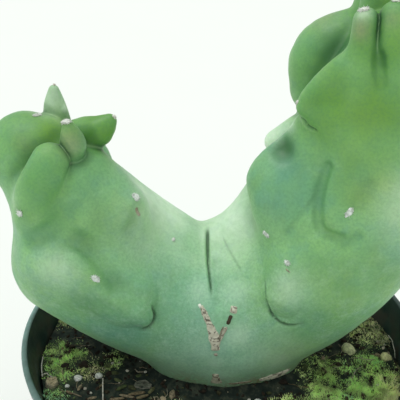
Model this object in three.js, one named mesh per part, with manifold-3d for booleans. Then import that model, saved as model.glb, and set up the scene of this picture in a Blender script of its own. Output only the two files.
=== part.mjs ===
// A young totem pole cactus in its nursery pot. The stem forks at the soil into two knobbly arms
// and carries rounded lobes in no order, each with a small woolly areole, where other cacti have
// ribs and spines. Millimetres, +Z up, the origin at the middle of the pot's underside. +X is the
// side of the taller arm and -Y is the front.
import * as THREE from 'three';
import { mergeVertices } from 'three/addons/utils/BufferGeometryUtils.js';
import Module from 'manifold-3d';

const wasm = await Module();
wasm.setup();

// ---------------------------------------------------------------- driving dimensions
const POT_HEIGHT = 110;
const RIM_RADIUS = 75;
const BASE_RADIUS = 51;
const WALL = 1.8;
const FLOOR = 2.4;
const LIP_WIDTH = 2.2;
const LIP_HEIGHT = 3;
const BAND_HEIGHT = 14;
const BAND_STEP = 2.4;
const DRAIN_HOLES = 6;
const DRAIN_RADIUS = 4.5;
const DRAIN_CIRCLE = 35;
const POT_SIDES = 48;

const SOIL_LEVEL = 97;
const SOIL_RELIEF = 1.6;
const SWELL_SIZE = 21;
const CLOD_SIZE = 7;
const CLOD_SHARE = 0.45;
const SOIL_EDGE = [52, 71];
const EDGE_CALM = 0.6;
const SOIL_RINGS = 13;
const SOIL_SECTORS = 44;
const GAP = 0.35;

const STEM_X = 2;
const STEM_Y = 1.5;
const STEM_SIDES = 30;
const STEM_PROFILE = [[9, 62], [13.5, 66], [17.5, 74], [21, 84], [23.6, 93], [24.6, 100], [22.4, 107]];
const STEM_WIDE = 1.15;
const STEM_DEEP = 0.91;
const STEM_ROUNDNESS = 0.64;
const COLLAR_DEPTH = 6;
const COLLAR_FLARE = 6.5;

const GRID_LOW = [-91, -43, 77.5];
const GRID_HIGH = [90, 42, 242];
const CELL = 4.6;
const MIN_BLEND = 3;
const PATH_STEP = 3;
const FINGER_STEP = 6;
const FINGER_SIDES = 9;
const AREOLE_RADIUS = 1.5;
const AREOLE_HEIGHT = 1.2;

// The stem is a run of balls [x, y, z, radius] for each arm and each lobe, from its tip down,
// and blend says how softly its two ends run into what is there already.
const ARMS = [
  { name: 'trunk', balls: [[2, 1.5, 108, 25], [0, 0, 114, 27], [-3, -1, 121, 25]], blend: [0, 0] },
  {
    name: 'left arm',
    balls: [[-8, 0, 120, 24.5], [-27, 0, 130, 25], [-43, 0, 143, 24.5], [-51, 0, 156, 22],
      [-54.5, 0, 168, 18.5], [-55, 0, 175, 15]],
    blend: [6, 9],
  },
  {
    name: 'right arm',
    balls: [[8, 0, 119, 25.5], [26, 0, 132, 27], [41, 0, 149, 27.5], [48, 0, 170, 25.5], [51, 0, 192, 23.5],
      [53, 0, 210, 17], [53, 0, 221, 10.5]],
    blend: [6, 9],
  },
];
const LOBES = [
  {
    name: 'left crown west',
    balls: [[-59.5, 1, 168, 9.5], [-67.5, 1, 181, 13], [-60.5, 0, 184, 10.3]],
    blend: [7, 1.2],
  },
  {
    name: 'left east ridge',
    balls: [[-45, -6, 176.5, 9], [-40, -6.5, 171, 8.5], [-34, -10, 165, 8]],
    blend: [3, 12],
  },
  { name: 'left shoulder', balls: [[-50, -12, 175, 7], [-48, -13.5, 167, 8.5]], blend: [5, 6] },
  {
    name: 'left crown front',
    balls: [[-55, -15, 184.6, 6], [-57, -16.8, 180.2, 6.7], [-59.8, -16, 173.5, 7.6], [-60.6, -14, 165, 8]],
    blend: [0.8, 6],
  },
  { name: 'left saddle', balls: [[-40, 4, 164, 9], [-28, 4, 154, 9.5], [-13, 2, 142, 10.5]], blend: [6, 5] },
  {
    name: 'left low bulge',
    balls: [[-55, -11, 150, 15], [-46, -12.5, 145, 14.5], [-32, -17.2, 137, 12]],
    blend: [4, 0.5],
  },
  {
    name: 'left crest',
    balls: [[-48, -21.6, 155, 5], [-41.6, -23, 148.5, 5.4], [-37.5, -24, 143, 5.4],
      [-32, -24.4, 138.5, 5.6], [-28, -23.8, 132.5, 5.2]],
    blend: [3.5, 2],
  },
  {
    name: 'left underside',
    balls: [[-58, -3, 138.5, 17], [-38, -3, 126.5, 18], [-15, -3, 116.5, 19]],
    blend: [9, 9],
  },
  { name: 'left west', balls: [[-57.5, 9, 167, 9], [-57.5, 8, 150, 12.5]], blend: [6, 8] },
  { name: 'left north west', balls: [[-59, 15, 163, 8], [-57, 16, 150, 10.5]], blend: [4, 1.5] },
  { name: 'left north low', balls: [[-40, 16, 148, 12], [-30, 18, 136, 12]], blend: [5, 1.2] },
  {
    name: 'right fin west',
    balls: [[46, 12.5, 220.5, 7.3], [34.3, 13, 211.5, 11], [32.5, 13, 200.3, 9.5]],
    blend: [3, 2],
  },
  { name: 'right core', balls: [[47, -7, 223, 6.5], [47, -6, 208, 11]], blend: [2, 2] },
  {
    name: 'right face',
    balls: [[38, -10.5, 211, 8.2], [33, -11.2, 205.5, 7], [38, -10.5, 196, 10]],
    blend: [5, 5],
  },
  {
    name: 'right slope',
    balls: [[39.2, -13.4, 217.8, 4.6], [35.3, -12.9, 213.8, 4.6], [30.1, -12.4, 208.4, 4.7],
      [27, -12, 204.4, 4.6]],
    blend: [2, 3],
  },
  { name: 'right corner', balls: [[26.6, -12, 201.6, 4.4], [33, -12, 199, 7]], blend: [2, 4] },
  { name: 'right notch', balls: [[27, -9.5, 194.5, 4.2], [28.5, -9.5, 188, 6.5]], blend: [3, 4] },
  {
    name: 'right rim',
    balls: [[24.6, -8, 195, 2.4], [22.8, -6.8, 190.6, 2.6], [19.6, -6, 187, 2.6], [16.4, -6.5, 183.2, 2.8],
      [13.8, -7, 179.3, 3.4], [12.8, -8, 175.6, 4]],
    blend: [2, 6],
  },
  { name: 'right east column', balls: [[65, -6, 219, 6.5], [65, -5, 206, 9.5]], blend: [1.5, 2] },
  { name: 'right saddle', balls: [[0, 3, 140.5, 11], [11, 4, 151, 10.5], [19, 5, 164, 10]], blend: [5, 6] },
  {
    name: 'right west lobe',
    balls: [[27, -8, 185, 4.5], [18.7, -9, 174, 9.6], [21, -12, 161, 9.2], [26, -16, 150, 8]],
    blend: [5, 5],
  },
  {
    name: 'right cheek',
    balls: [[26.5, -10, 185, 5], [27, -12.2, 176, 7.2], [27.5, -13.8, 166, 7.8]],
    blend: [4, 5],
  },
  {
    name: 'right ridge',
    balls: [[40, -14, 188, 8], [37, -17.2, 173, 6.6], [37, -18.2, 167.5, 6.2]],
    blend: [7, 4],
  },
  { name: 'right bulge', balls: [[57, -12, 180, 14], [54, -12, 162, 16]], blend: [8, 8] },
  { name: 'right belly', balls: [[34, -14, 152, 12], [32.5, -15.8, 139, 13]], blend: [6, 7] },
  { name: 'right low lobe', balls: [[22.5, -18.5, 150, 7.5], [21.9, -20.6, 139, 8.9]], blend: [3, 0.4] },
  {
    name: 'right underside',
    balls: [[50, -2, 148, 18], [34, -3, 130, 19], [16, -3, 116.5, 19.2]],
    blend: [9, 9],
  },
  { name: 'right east ridge', balls: [[68, -2, 198, 6], [65, 0, 186, 9], [60, 0, 168, 13]], blend: [3, 8] },
  {
    name: 'right north tip',
    balls: [[47, 19, 214, 6], [46, 19, 202, 8.5], [43, 18, 188, 11]],
    blend: [2, 1.2],
  },
  { name: 'right north mid', balls: [[52, 17, 182, 10], [48, 18, 166, 12]], blend: [4, 1.2] },
  { name: 'right north low', balls: [[34, 16, 164, 12], [28, 17, 146, 13]], blend: [5, 1.2] },
  { name: 'right back west', balls: [[34, 16, 194, 6], [32, 15, 181, 8]], blend: [3, 1.5] },
  { name: 'right east low', balls: [[69, -3, 168, 8], [61, -4, 150, 13]], blend: [5, 1.5] },
  { name: 'right east north', balls: [[64, 14, 194, 7], [60, 15, 177, 10]], blend: [3, 1.5] },
  { name: 'left west low', balls: [[-63.5, 8, 157, 6.5], [-62.5, 8, 145, 10.5]], blend: [4, 1.5] },
  { name: 'trunk north', balls: [[4, 10, 136, 13], [2, 11, 116, 15]], blend: [6, 6] },
];
// Slim lobes round the growing tips: each is a closed finger of its own, its root sunk in the arm.
const FINGERS = [
  [[-37.6, -0.3, 192.6, 2.6], [-41.5, -0.5, 189.2, 5.2], [-48, 2, 186.5, 6], [-54, 4, 180, 5]],
  [[-56.7, 8, 200.6, 1.8], [-56.9, 8, 195, 3.7], [-56.5, 7, 186, 5.3], [-56, 5, 176, 6]],
  [[-48.9, -11, 195.2, 1.8], [-48.4, -11, 192.2, 3.2], [-47.9, -10.8, 188.6, 4.2], [-49, -9.5, 184.5, 3.6]],
  [[-51, 14, 182, 5], [-48, 16, 172, 7.5], [-46, 12, 160, 9]],
  [[39.4, -15, 228.6, 3.5], [39.6, -15, 222, 4.2], [40.5, -14, 214, 6.5], [42, -12, 204, 10],
    [43, -7, 192, 12]],
  [[47.4, -16, 229.8, 4.4], [49.2, -16.5, 218, 6.8], [51, -13, 204, 11], [51, -6, 192, 12]],
  [[46, 1, 237, 4.4], [47.5, 1, 227, 6.5], [48.5, 1, 214, 8]],
  [[53.5, -3, 238, 5], [53, -1, 227, 8], [52, -1, 214, 9]],
  [[49, 12, 235, 5], [49, 10, 224, 8.5], [49, 8, 212, 9]],
  [[61, 7, 229, 5.5], [58, 6, 218, 9], [55, 5, 206, 9]],
  [[19.6, 12, 180.3, 4.4], [26.6, 11, 185.2, 5.2], [38, 8, 190, 8]],
];
// Folds in the skin that are wide enough to matter: a line, its half width and its depth.
const FOLDS = [
  { line: [[-5, 2, 153], [-5, -8, 147.5], [-4.3, -16, 142.5], [-3.3, -22.5, 136]], width: 2.6, depth: 1.3 },
  {
    line: [[-61.4, -20.7, 159.4], [-57.7, -20.8, 162.4], [-52.6, -20.5, 165.9], [-47.5, -20.3, 169.5]],
    width: 3,
    depth: 2,
  },
  {
    line: [[-50, -20.5, 163], [-45.5, -22, 156], [-40.5, -25, 151], [-35.5, -27, 145.5], [-30, -27.2, 140]],
    width: 3.2,
    depth: 2,
  },
  {
    line: [[33.2, -18.5, 185], [30.6, -19.4, 177], [30.2, -20.7, 168.6], [32, -22.2, 164],
      [37, -25, 162.8]],
    width: 2.4,
    depth: 1,
  },
  { line: [[18.6, -9, 186.2], [20.8, -10.5, 185]], width: 3, depth: 2.2 },
  {
    line: [[37, -7.5, 222.5], [34.2, -7.5, 217.5], [31, -7, 213.5], [28.2, -6.5, 209.5]],
    width: 3,
    depth: 2.6,
  },
];
// Areoles sit on the lobes' ends and crests. Each is pulled onto the skin from the place given.
const AREOLES = [
  [-61.3, 0.3, 194.6], [-49.2, -11.6, 196.4], [-35.6, -1, 194.6], [-64.7, -21.5, 169.8],
  [-28.7, -12.8, 171], [-41.8, -26.3, 148.7], [-56.4, 8, 202.4], [-51, 15, 187], [-60, 22, 160],
  [-36, 30, 150], [-77, 2, 152], [-22, 28, 130], [39.3, -15, 232.2], [47.4, -16, 234.2],
  [23.4, -12.6, 203], [38.7, -23, 171.3], [14, -17.9, 159.9], [21, -23.8, 152.8], [46, 1, 241.6],
  [54, -4, 243], [49, 14, 240], [64, 8, 234], [67, -9, 225], [33, 22, 220], [17, 14, 173],
  [47, 26, 218], [55, 28, 186], [33, 29, 168], [74, -2, 202], [78, -6, 178], [30, 22, 197],
  [6, 24, 140], [56, -29, 196], [-16, -9.5, 153.5],
];

// Pebbles and bark lie in dimples of the soil: [x, y, length, width, height, turn in degrees].
const PEBBLES = [
  [-53.4, -17, 3.4, 2.8, 2.4, 20], [-45.7, -16.1, 2.8, 2.6, 2.4, 70], [-57, -20, 1.8, 1.6, 1.4, 0],
  [13.2, -28.5, 2.8, 3, 2.2, 40], [50.9, -1.6, 6.6, 4.6, 3.8, 112], [64.6, -5.6, 4.8, 4.2, 3.4, 160],
  [30, 46, 5, 4, 3.4, 80], [-34, 44, 4.4, 3.6, 3, 15], [-8, 54, 5.6, 4.4, 3.6, 140],
  [-12, -48, 5, 4, 3.2, 60], [28, -52, 4.4, 3.6, 3, 100],
];
const BARK = [
  [-62.8, -19.2, 5.2, 4.8, 3.6, 108], [-21.5, -29, 6.6, 2.8, 1.8, 75], [-29, -20.5, 7, 4.2, 2, 170],
  [50, 36, 11, 6, 2.6, 65], [8, -58, 13, 6.5, 2.8, 20],
];
const PEBBLE_SINK = 0.35;
const BARK_SINK = 0.5;
const STONE_DENT = 0.16;
const FLAKE_RAGGED = 0.22;
const FLAKE_TILT = 16;

// ---------------------------------------------------------------- small helpers
const DEGREE = Math.PI / 180;

function hash(x, y, seed) {
  const value = Math.sin(x * 127.1 + y * 311.7 + seed * 74.7) * 43758.5453;
  return value - Math.floor(value);
}

function noise(x, y, seed) {
  const cellX = Math.floor(x);
  const cellY = Math.floor(y);
  const u = THREE.MathUtils.smoothstep(x - cellX, 0, 1);
  const v = THREE.MathUtils.smoothstep(y - cellY, 0, 1);
  const low = THREE.MathUtils.lerp(hash(cellX, cellY, seed), hash(cellX + 1, cellY, seed), u);
  const high = THREE.MathUtils.lerp(hash(cellX, cellY + 1, seed), hash(cellX + 1, cellY + 1, seed), u);
  return THREE.MathUtils.lerp(low, high, v) * 2 - 1;
}

function toSolid(geometry) {
  const bare = geometry.clone();
  bare.deleteAttribute('normal');
  bare.deleteAttribute('uv');
  const merged = mergeVertices(bare, 1e-4);
  return new wasm.Manifold(new wasm.Mesh({
    numProp: 3,
    vertProperties: new Float32Array(merged.attributes.position.array),
    triVerts: new Uint32Array(merged.index.array),
  }));
}

function toGeometry(solid) {
  const mesh = solid.getMesh();
  const geometry = new THREE.BufferGeometry();
  geometry.setAttribute('position', new THREE.BufferAttribute(new Float32Array(mesh.vertProperties), 3));
  geometry.setIndex(new THREE.BufferAttribute(new Uint32Array(mesh.triVerts), 1));
  geometry.computeVertexNormals();
  return geometry;
}

function indexed(points, faces) {
  const geometry = new THREE.BufferGeometry();
  geometry.setAttribute('position', new THREE.BufferAttribute(new Float32Array(points.flat()), 3));
  geometry.setIndex(faces.flat());
  return geometry;
}

function lathe(profile, sides) {
  const outline = profile.map(([radius, height]) => new THREE.Vector2(radius, height));
  const geometry = new THREE.LatheGeometry(outline, sides);
  return geometry.rotateX(Math.PI / 2);
}

function named(name, geometry, color, roughness) {
  const mesh = new THREE.Mesh(geometry, new THREE.MeshStandardMaterial({ color, roughness, metalness: 0 }));
  mesh.name = name;
  return mesh;
}

// ---------------------------------------------------------------- the stem's form as a distance field
// A smooth run of balls through the given ones.
function smoothRun(balls, spacing) {
  if (balls.length < 3) return balls;
  const mirror = (a, b) => a.map((value, axis) => 2 * value - b[axis]);
  const ends = [mirror(balls[0], balls[1]), ...balls, mirror(balls.at(-1), balls.at(-2))];
  const run = [];
  for (let i = 1; i < ends.length - 2; i += 1) {
    const [a, b, c, d] = ends.slice(i - 1, i + 3);
    const span = Math.hypot(c[0] - b[0], c[1] - b[1], c[2] - b[2]);
    const steps = Math.max(1, Math.ceil(span / spacing));
    for (let step = 0; step < steps; step += 1) {
      const u = step / steps;
      run.push(b.map((_, axis) => 0.5 * (2 * b[axis] + (c[axis] - a[axis]) * u
        + (2 * a[axis] - 5 * b[axis] + 4 * c[axis] - d[axis]) * u * u
        + (3 * b[axis] - a[axis] - 3 * c[axis] + d[axis]) * u * u * u)));
    }
  }
  run.push(balls.at(-1));
  return run;
}

// Distance to the skin stretched over two balls.
function roundCone(p, a, b) {
  const ba = [b[0] - a[0], b[1] - a[1], b[2] - a[2]];
  const pa = [p[0] - a[0], p[1] - a[1], p[2] - a[2]];
  const length2 = ba[0] ** 2 + ba[1] ** 2 + ba[2] ** 2;
  const taper = a[3] - b[3];
  const slant2 = Math.max(length2 - taper * taper, 1e-6);
  const along = pa[0] * ba[0] + pa[1] * ba[1] + pa[2] * ba[2];
  const beyond = along - length2;
  const across2 = ba.reduce((sum, value, axis) => sum + (pa[axis] * length2 - value * along) ** 2, 0);
  const edge = Math.sign(taper) * taper * taper * across2;
  if (Math.sign(beyond) * slant2 * beyond * beyond * length2 > edge) {
    return Math.sqrt(across2 + beyond * beyond * length2) / length2 - b[3];
  }
  if (Math.sign(along) * slant2 * along * along * length2 < edge) {
    return Math.sqrt(across2 + along * along * length2) / length2 - a[3];
  }
  return (Math.sqrt(across2 * slant2 / length2) + along * taper) / length2 - a[3];
}

function prepare({ balls, blend }) {
  const run = smoothRun(balls, PATH_STEP);
  const first = run[0];
  const chord = run.at(-1).slice(0, 3).map((value, axis) => value - first[axis]);
  return { run, blend, first, chord, chord2: chord.reduce((sum, value) => sum + value * value, 0) };
}

const STROKES = [...ARMS, ...LOBES].map(prepare);

function strokeDistance(p, { run }) {
  let nearest = Infinity;
  for (let i = 0; i + 1 < run.length; i += 1) {
    nearest = Math.min(nearest, roundCone(p, run[i], run[i + 1]));
  }
  return nearest;
}

function softUnion(a, b, softness) {
  const share = THREE.MathUtils.clamp(0.5 + 0.5 * (b - a) / softness, 0, 1);
  return b + (a - b) * share - softness * share * (1 - share);
}

function lineDistance(p, line) {
  let nearest = Infinity;
  const point = new THREE.Vector3(...p);
  const foot = new THREE.Vector3();
  for (let i = 0; i + 1 < line.length; i += 1) {
    const piece = new THREE.Line3(new THREE.Vector3(...line[i]), new THREE.Vector3(...line[i + 1]));
    piece.closestPointToPoint(point, true, foot);
    nearest = Math.min(nearest, foot.distanceTo(point));
  }
  return nearest;
}

function stemField(p) {
  let distance = strokeDistance(p, STROKES[0]);
  for (const stroke of STROKES.slice(1)) {
    const { chord, chord2, first } = stroke;
    const along = chord.reduce((sum, value, axis) => sum + value * (p[axis] - first[axis]), 0);
    const share = THREE.MathUtils.clamp(along / chord2, 0, 1);
    const softness = THREE.MathUtils.lerp(...stroke.blend, share);
    distance = softUnion(distance, strokeDistance(p, stroke), Math.max(softness, MIN_BLEND));
  }
  for (const { line, width, depth } of FOLDS) {
    const away = lineDistance(p, line) / width;
    if (away < 3) distance += depth * Math.exp(-away * away);
  }
  return distance;
}

function gradient(field, p) {
  const step = 0.1;
  return [0, 1, 2].map((axis) => {
    const ahead = [...p];
    const behind = [...p];
    ahead[axis] += step;
    behind[axis] -= step;
    return (field(ahead) - field(behind)) / (2 * step);
  });
}

function pullOnto(field, p, times, limit) {
  let point = [...p];
  for (let turn = 0; turn < times; turn += 1) {
    const slope = gradient(field, point);
    const size2 = slope.reduce((sum, value) => sum + value * value, 1e-9);
    const move = THREE.MathUtils.clamp(field(point) / size2, -limit, limit);
    point = point.map((value, axis) => value - slope[axis] * move);
  }
  return point;
}

// Skin of the field's inside: one corner in each grid cell that the skin crosses, one four-sided
// face for each grid edge that it crosses.
function skin(field, low, high, cell) {
  const count = low.map((value, axis) => Math.ceil((high[axis] - value) / cell) + 1);
  const at = (i, j, k) => (i * count[1] + j) * count[2] + k;
  const place = (i, j, k) => [low[0] + i * cell, low[1] + j * cell, low[2] + k * cell];
  const values = new Float64Array(count[0] * count[1] * count[2]);
  for (let i = 0; i < count[0]; i += 1) {
    for (let j = 0; j < count[1]; j += 1) {
      for (let k = 0; k < count[2]; k += 1) values[at(i, j, k)] = field(place(i, j, k));
    }
  }
  const corners = [...Array(8).keys()].map((bits) => [bits & 1, (bits >> 1) & 1, (bits >> 2) & 1]);
  const edges = [];
  for (const corner of corners) {
    for (let axis = 0; axis < 3; axis += 1) {
      if (corner[axis] === 0) edges.push([corner, axis]);
    }
  }
  const points = [];
  const owner = new Map();
  for (let i = 0; i + 1 < count[0]; i += 1) {
    for (let j = 0; j + 1 < count[1]; j += 1) {
      for (let k = 0; k + 1 < count[2]; k += 1) {
        const sum = [0, 0, 0];
        let crossings = 0;
        for (const [corner, axis] of edges) {
          const start = [i + corner[0], j + corner[1], k + corner[2]];
          const end = [...start];
          end[axis] += 1;
          const a = values[at(...start)];
          const b = values[at(...end)];
          if ((a < 0) !== (b < 0)) {
            const from = place(...start);
            from[axis] += cell * a / (a - b);
            from.forEach((value, side) => { sum[side] += value; });
            crossings += 1;
          }
        }
        if (crossings > 0) {
          owner.set(at(i, j, k), points.length);
          points.push(pullOnto(field, sum.map((value) => value / crossings), 3, cell / 4));
        }
      }
    }
  }
  const faces = [];
  for (let i = 1; i + 1 < count[0]; i += 1) {
    for (let j = 1; j + 1 < count[1]; j += 1) {
      for (let k = 1; k + 1 < count[2]; k += 1) {
        for (let axis = 0; axis < 3; axis += 1) {
          const end = [i, j, k];
          end[axis] += 1;
          const inside = values[at(i, j, k)] < 0;
          if (inside !== (values[at(...end)] < 0)) {
            const u = [0, 0, 0];
            const v = [0, 0, 0];
            u[(axis + 1) % 3] = 1;
            v[(axis + 2) % 3] = 1;
            const around = [[0, 0], [1, 0], [1, 1], [0, 1]].map(([a, b]) => owner.get(
              at(i - a * u[0] - b * v[0], j - a * u[1] - b * v[1], k - a * u[2] - b * v[2]),
            ));
            if (!inside) around.reverse();
            faces.push([around[0], around[1], around[2]], [around[0], around[2], around[3]]);
          }
        }
      }
    }
  }
  return indexed(points, faces);
}

// ---------------------------------------------------------------- cactus
const CAP_ANGLES = [30 * DEGREE, 60 * DEGREE];

// A finger's outline is a chain of rings square to its run, with a round cap at each end.
function fingerGeometry(balls) {
  const run = smoothRun(balls, FINGER_STEP);
  const last = run.length - 1;
  const centres = run.map((ball) => new THREE.Vector3(...ball.slice(0, 3)));
  const direction = (i) => {
    const ahead = centres[Math.min(i + 1, last)];
    return ahead.clone().sub(centres[Math.max(i - 1, 0)]).normalize();
  };
  const rings = [];
  for (const angle of [...CAP_ANGLES].reverse()) {
    rings.push([0, -Math.sin(angle) * run[0][3], Math.cos(angle) * run[0][3]]);
  }
  run.forEach((ball, i) => rings.push([i, 0, ball[3]]));
  for (const angle of CAP_ANGLES) {
    rings.push([last, Math.sin(angle) * run[last][3], Math.cos(angle) * run[last][3]]);
  }
  const points = [centres[0].clone().addScaledVector(direction(0), -run[0][3]).toArray()];
  for (const [i, ahead, radius] of rings) {
    const forward = direction(i);
    const side = new THREE.Vector3(0, 1, 0).cross(forward).normalize();
    const front = forward.clone().cross(side);
    for (let turn = 0; turn < FINGER_SIDES; turn += 1) {
      const angle = turn * 2 * Math.PI / FINGER_SIDES;
      points.push(centres[i].clone().addScaledVector(forward, ahead)
        .addScaledVector(side, Math.cos(angle) * radius)
        .addScaledVector(front, Math.sin(angle) * radius).toArray());
    }
  }
  points.push(centres[last].clone().addScaledVector(direction(last), run[last][3]).toArray());
  const faces = [];
  const end = points.length - 1;
  for (let turn = 0; turn < FINGER_SIDES; turn += 1) {
    const next = (turn + 1) % FINGER_SIDES;
    faces.push([0, 1 + next, 1 + turn]);
    for (let ring = 0; ring + 1 < rings.length; ring += 1) {
      const a = 1 + ring * FINGER_SIDES;
      const b = a + FINGER_SIDES;
      faces.push([a + turn, a + next, b + next], [a + turn, b + next, b + turn]);
    }
    faces.push([end, end - FINGER_SIDES + turn, end - FINGER_SIDES + next]);
  }
  return indexed(points, faces);
}

// The foot is wider than deep with rounded corners, as two stems grown together are.
function footSolid(outline) {
  const geometry = lathe(outline, STEM_SIDES);
  const position = geometry.attributes.position;
  const squared = (share) => Math.sign(share) * Math.abs(share) ** STEM_ROUNDNESS;
  for (let i = 0; i < position.count; i += 1) {
    const radius = Math.hypot(position.getX(i), position.getY(i));
    if (radius > 0) {
      const x = STEM_WIDE * radius * squared(position.getX(i) / radius);
      const y = STEM_DEEP * radius * squared(position.getY(i) / radius);
      position.setXY(i, x + STEM_X, y + STEM_Y);
    } else {
      position.setXY(i, STEM_X, STEM_Y);
    }
  }
  return toSolid(geometry);
}

function stemSolid() {
  let stem = footSolid([[0, STEM_PROFILE[0][1]], ...STEM_PROFILE, [0, STEM_PROFILE.at(-1)[1]]]);
  stem = stem.add(toSolid(skin(stemField, GRID_LOW, GRID_HIGH, CELL)));
  for (const balls of FINGERS) stem = stem.add(toSolid(fingerGeometry(balls)));
  return stem;
}

const FINGER_STROKES = FINGERS.map((balls) => prepare({ balls, blend: [0, 0] }));

function wholeField(p) {
  const distances = FINGER_STROKES.map((stroke) => strokeDistance(p, stroke));
  return Math.min(stemField(p), ...distances);
}

function areole(place) {
  const foot = pullOnto(wholeField, place, 8, 2);
  const out = new THREE.Vector3(...gradient(wholeField, foot)).normalize();
  const dome = new THREE.SphereGeometry(1, 6, 4);
  dome.rotateX(Math.PI / 2);
  dome.scale(AREOLE_RADIUS, AREOLE_RADIUS, AREOLE_HEIGHT);
  dome.applyQuaternion(new THREE.Quaternion().setFromUnitVectors(new THREE.Vector3(0, 0, 1), out));
  return toSolid(dome.translate(...foot));
}

function cactus() {
  let solid = stemSolid();
  for (const place of AREOLES) solid = solid.add(areole(place));
  return named('cactus', toGeometry(solid), 0x6fa77e, 0.6);
}

// ---------------------------------------------------------------- pot
function innerRadius(height) {
  const share = (height - FLOOR) / (POT_HEIGHT - FLOOR);
  return THREE.MathUtils.lerp(BASE_RADIUS - WALL, RIM_RADIUS - LIP_WIDTH, share);
}

function pot() {
  const bandFoot = POT_HEIGHT - BAND_HEIGHT;
  const wallRadius = innerRadius(bandFoot) + WALL;
  const lipFoot = POT_HEIGHT - LIP_HEIGHT;
  const body = toSolid(lathe([
    [0, 0], [BASE_RADIUS - 1, 0], [BASE_RADIUS, 1], [BASE_RADIUS + 0.4, 6],
    [wallRadius - 0.2, bandFoot - 1.5], [RIM_RADIUS - BAND_STEP + 0.4, bandFoot],
    [RIM_RADIUS - 1, lipFoot - 1], [RIM_RADIUS, lipFoot], [RIM_RADIUS, POT_HEIGHT - 0.9],
    [RIM_RADIUS - 0.7, POT_HEIGHT], [RIM_RADIUS - LIP_WIDTH + 0.6, POT_HEIGHT],
    [innerRadius(POT_HEIGHT - 0.8), POT_HEIGHT - 0.8], [innerRadius(bandFoot), bandFoot],
    [innerRadius(FLOOR + 3), FLOOR + 3], [innerRadius(FLOOR) - 2.5, FLOOR], [0, FLOOR],
  ], POT_SIDES));
  let pierced = body;
  for (let hole = 0; hole < DRAIN_HOLES; hole += 1) {
    const angle = (hole + 0.5) * 2 * Math.PI / DRAIN_HOLES;
    const drill = new THREE.CylinderGeometry(DRAIN_RADIUS, DRAIN_RADIUS, 3 * FLOOR, 12);
    drill.rotateX(Math.PI / 2);
    drill.translate(DRAIN_CIRCLE * Math.cos(angle), DRAIN_CIRCLE * Math.sin(angle), FLOOR / 2);
    pierced = pierced.subtract(toSolid(drill));
  }
  return named('pot', toGeometry(pierced), 0x26332f, 0.45);
}

// ---------------------------------------------------------------- soil and what lies on it
function soilHeight(x, y) {
  const swell = noise(x / SWELL_SIZE, y / SWELL_SIZE, 1) * SOIL_RELIEF;
  const clods = noise(x / CLOD_SIZE, y / CLOD_SIZE, 2) * SOIL_RELIEF * CLOD_SHARE;
  const towardWall = THREE.MathUtils.smoothstep(Math.hypot(x, y), ...SOIL_EDGE);
  return SOIL_LEVEL + (swell + clods) * (1 - EDGE_CALM * towardWall) - towardWall;
}

function soilBlock() {
  const points = [];
  const faces = [];
  const edge = (height) => innerRadius(height) - GAP;
  const levels = [SOIL_LEVEL - 6, FLOOR + 3.4];
  const addRing = (radius, height) => {
    const start = points.length;
    for (let sector = 0; sector < SOIL_SECTORS; sector += 1) {
      const angle = sector * 2 * Math.PI / SOIL_SECTORS;
      const x = radius * Math.cos(angle);
      const y = radius * Math.sin(angle);
      points.push([x, y, height ?? soilHeight(x, y)]);
    }
    return start;
  };
  points.push([0, 0, soilHeight(0, 0)]);
  const starts = [];
  for (let ring = 1; ring <= SOIL_RINGS; ring += 1) {
    starts.push(addRing(edge(SOIL_LEVEL - 3) * ring / SOIL_RINGS));
  }
  for (const level of levels) starts.push(addRing(edge(level), level));
  starts.push(addRing(edge(FLOOR) - 3, FLOOR + GAP));
  points.push([0, 0, FLOOR + GAP]);
  for (let sector = 0; sector < SOIL_SECTORS; sector += 1) {
    const next = (sector + 1) % SOIL_SECTORS;
    faces.push([0, starts[0] + sector, starts[0] + next]);
    for (let ring = 0; ring + 1 < starts.length; ring += 1) {
      const a = starts[ring];
      const b = starts[ring + 1];
      faces.push([a + sector, b + sector, b + next], [a + sector, b + next, a + next]);
    }
    faces.push([points.length - 1, starts.at(-1) + next, starts.at(-1) + sector]);
  }
  return toSolid(indexed(points, faces));
}

function stemHole() {
  const profile = STEM_PROFILE.filter(([, height]) => height < SOIL_LEVEL - COLLAR_DEPTH + 3)
    .map(([radius, height]) => [radius + GAP, height - GAP]);
  const [topRadius, topHeight] = profile.at(-1);
  const mouth = SOIL_LEVEL + 2 * SOIL_RELIEF + 2;
  const flare = [topRadius + COLLAR_FLARE, mouth];
  return footSolid([[0, profile[0][1]], ...profile, [topRadius + 0.6, topHeight + 1], flare, [0, mouth]]);
}

// A small stone or flake: a rough ball pressed to its three sizes, knocked out of true by seed.
function stoneGeometry([x, y, length, width, height, turn], seed, sink, grow) {
  const ball = mergeVertices(stripped(new THREE.IcosahedronGeometry(1, 1)));
  const position = ball.attributes.position;
  for (let i = 0; i < position.count; i += 1) {
    const x0 = position.getX(i);
    const y0 = position.getY(i);
    const z0 = position.getZ(i);
    const dent = 1 + STONE_DENT * noise(x0 * 2 + seed, y0 * 2 + z0, seed);
    position.setXYZ(i, x0 * dent, y0 * dent, z0 * dent);
  }
  ball.scale(length / 2 + grow, width / 2 + grow, height / 2 + grow);
  ball.rotateZ(turn * DEGREE);
  return ball.translate(x, y, soilHeight(x, y) + height * (0.5 - sink));
}

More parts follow.
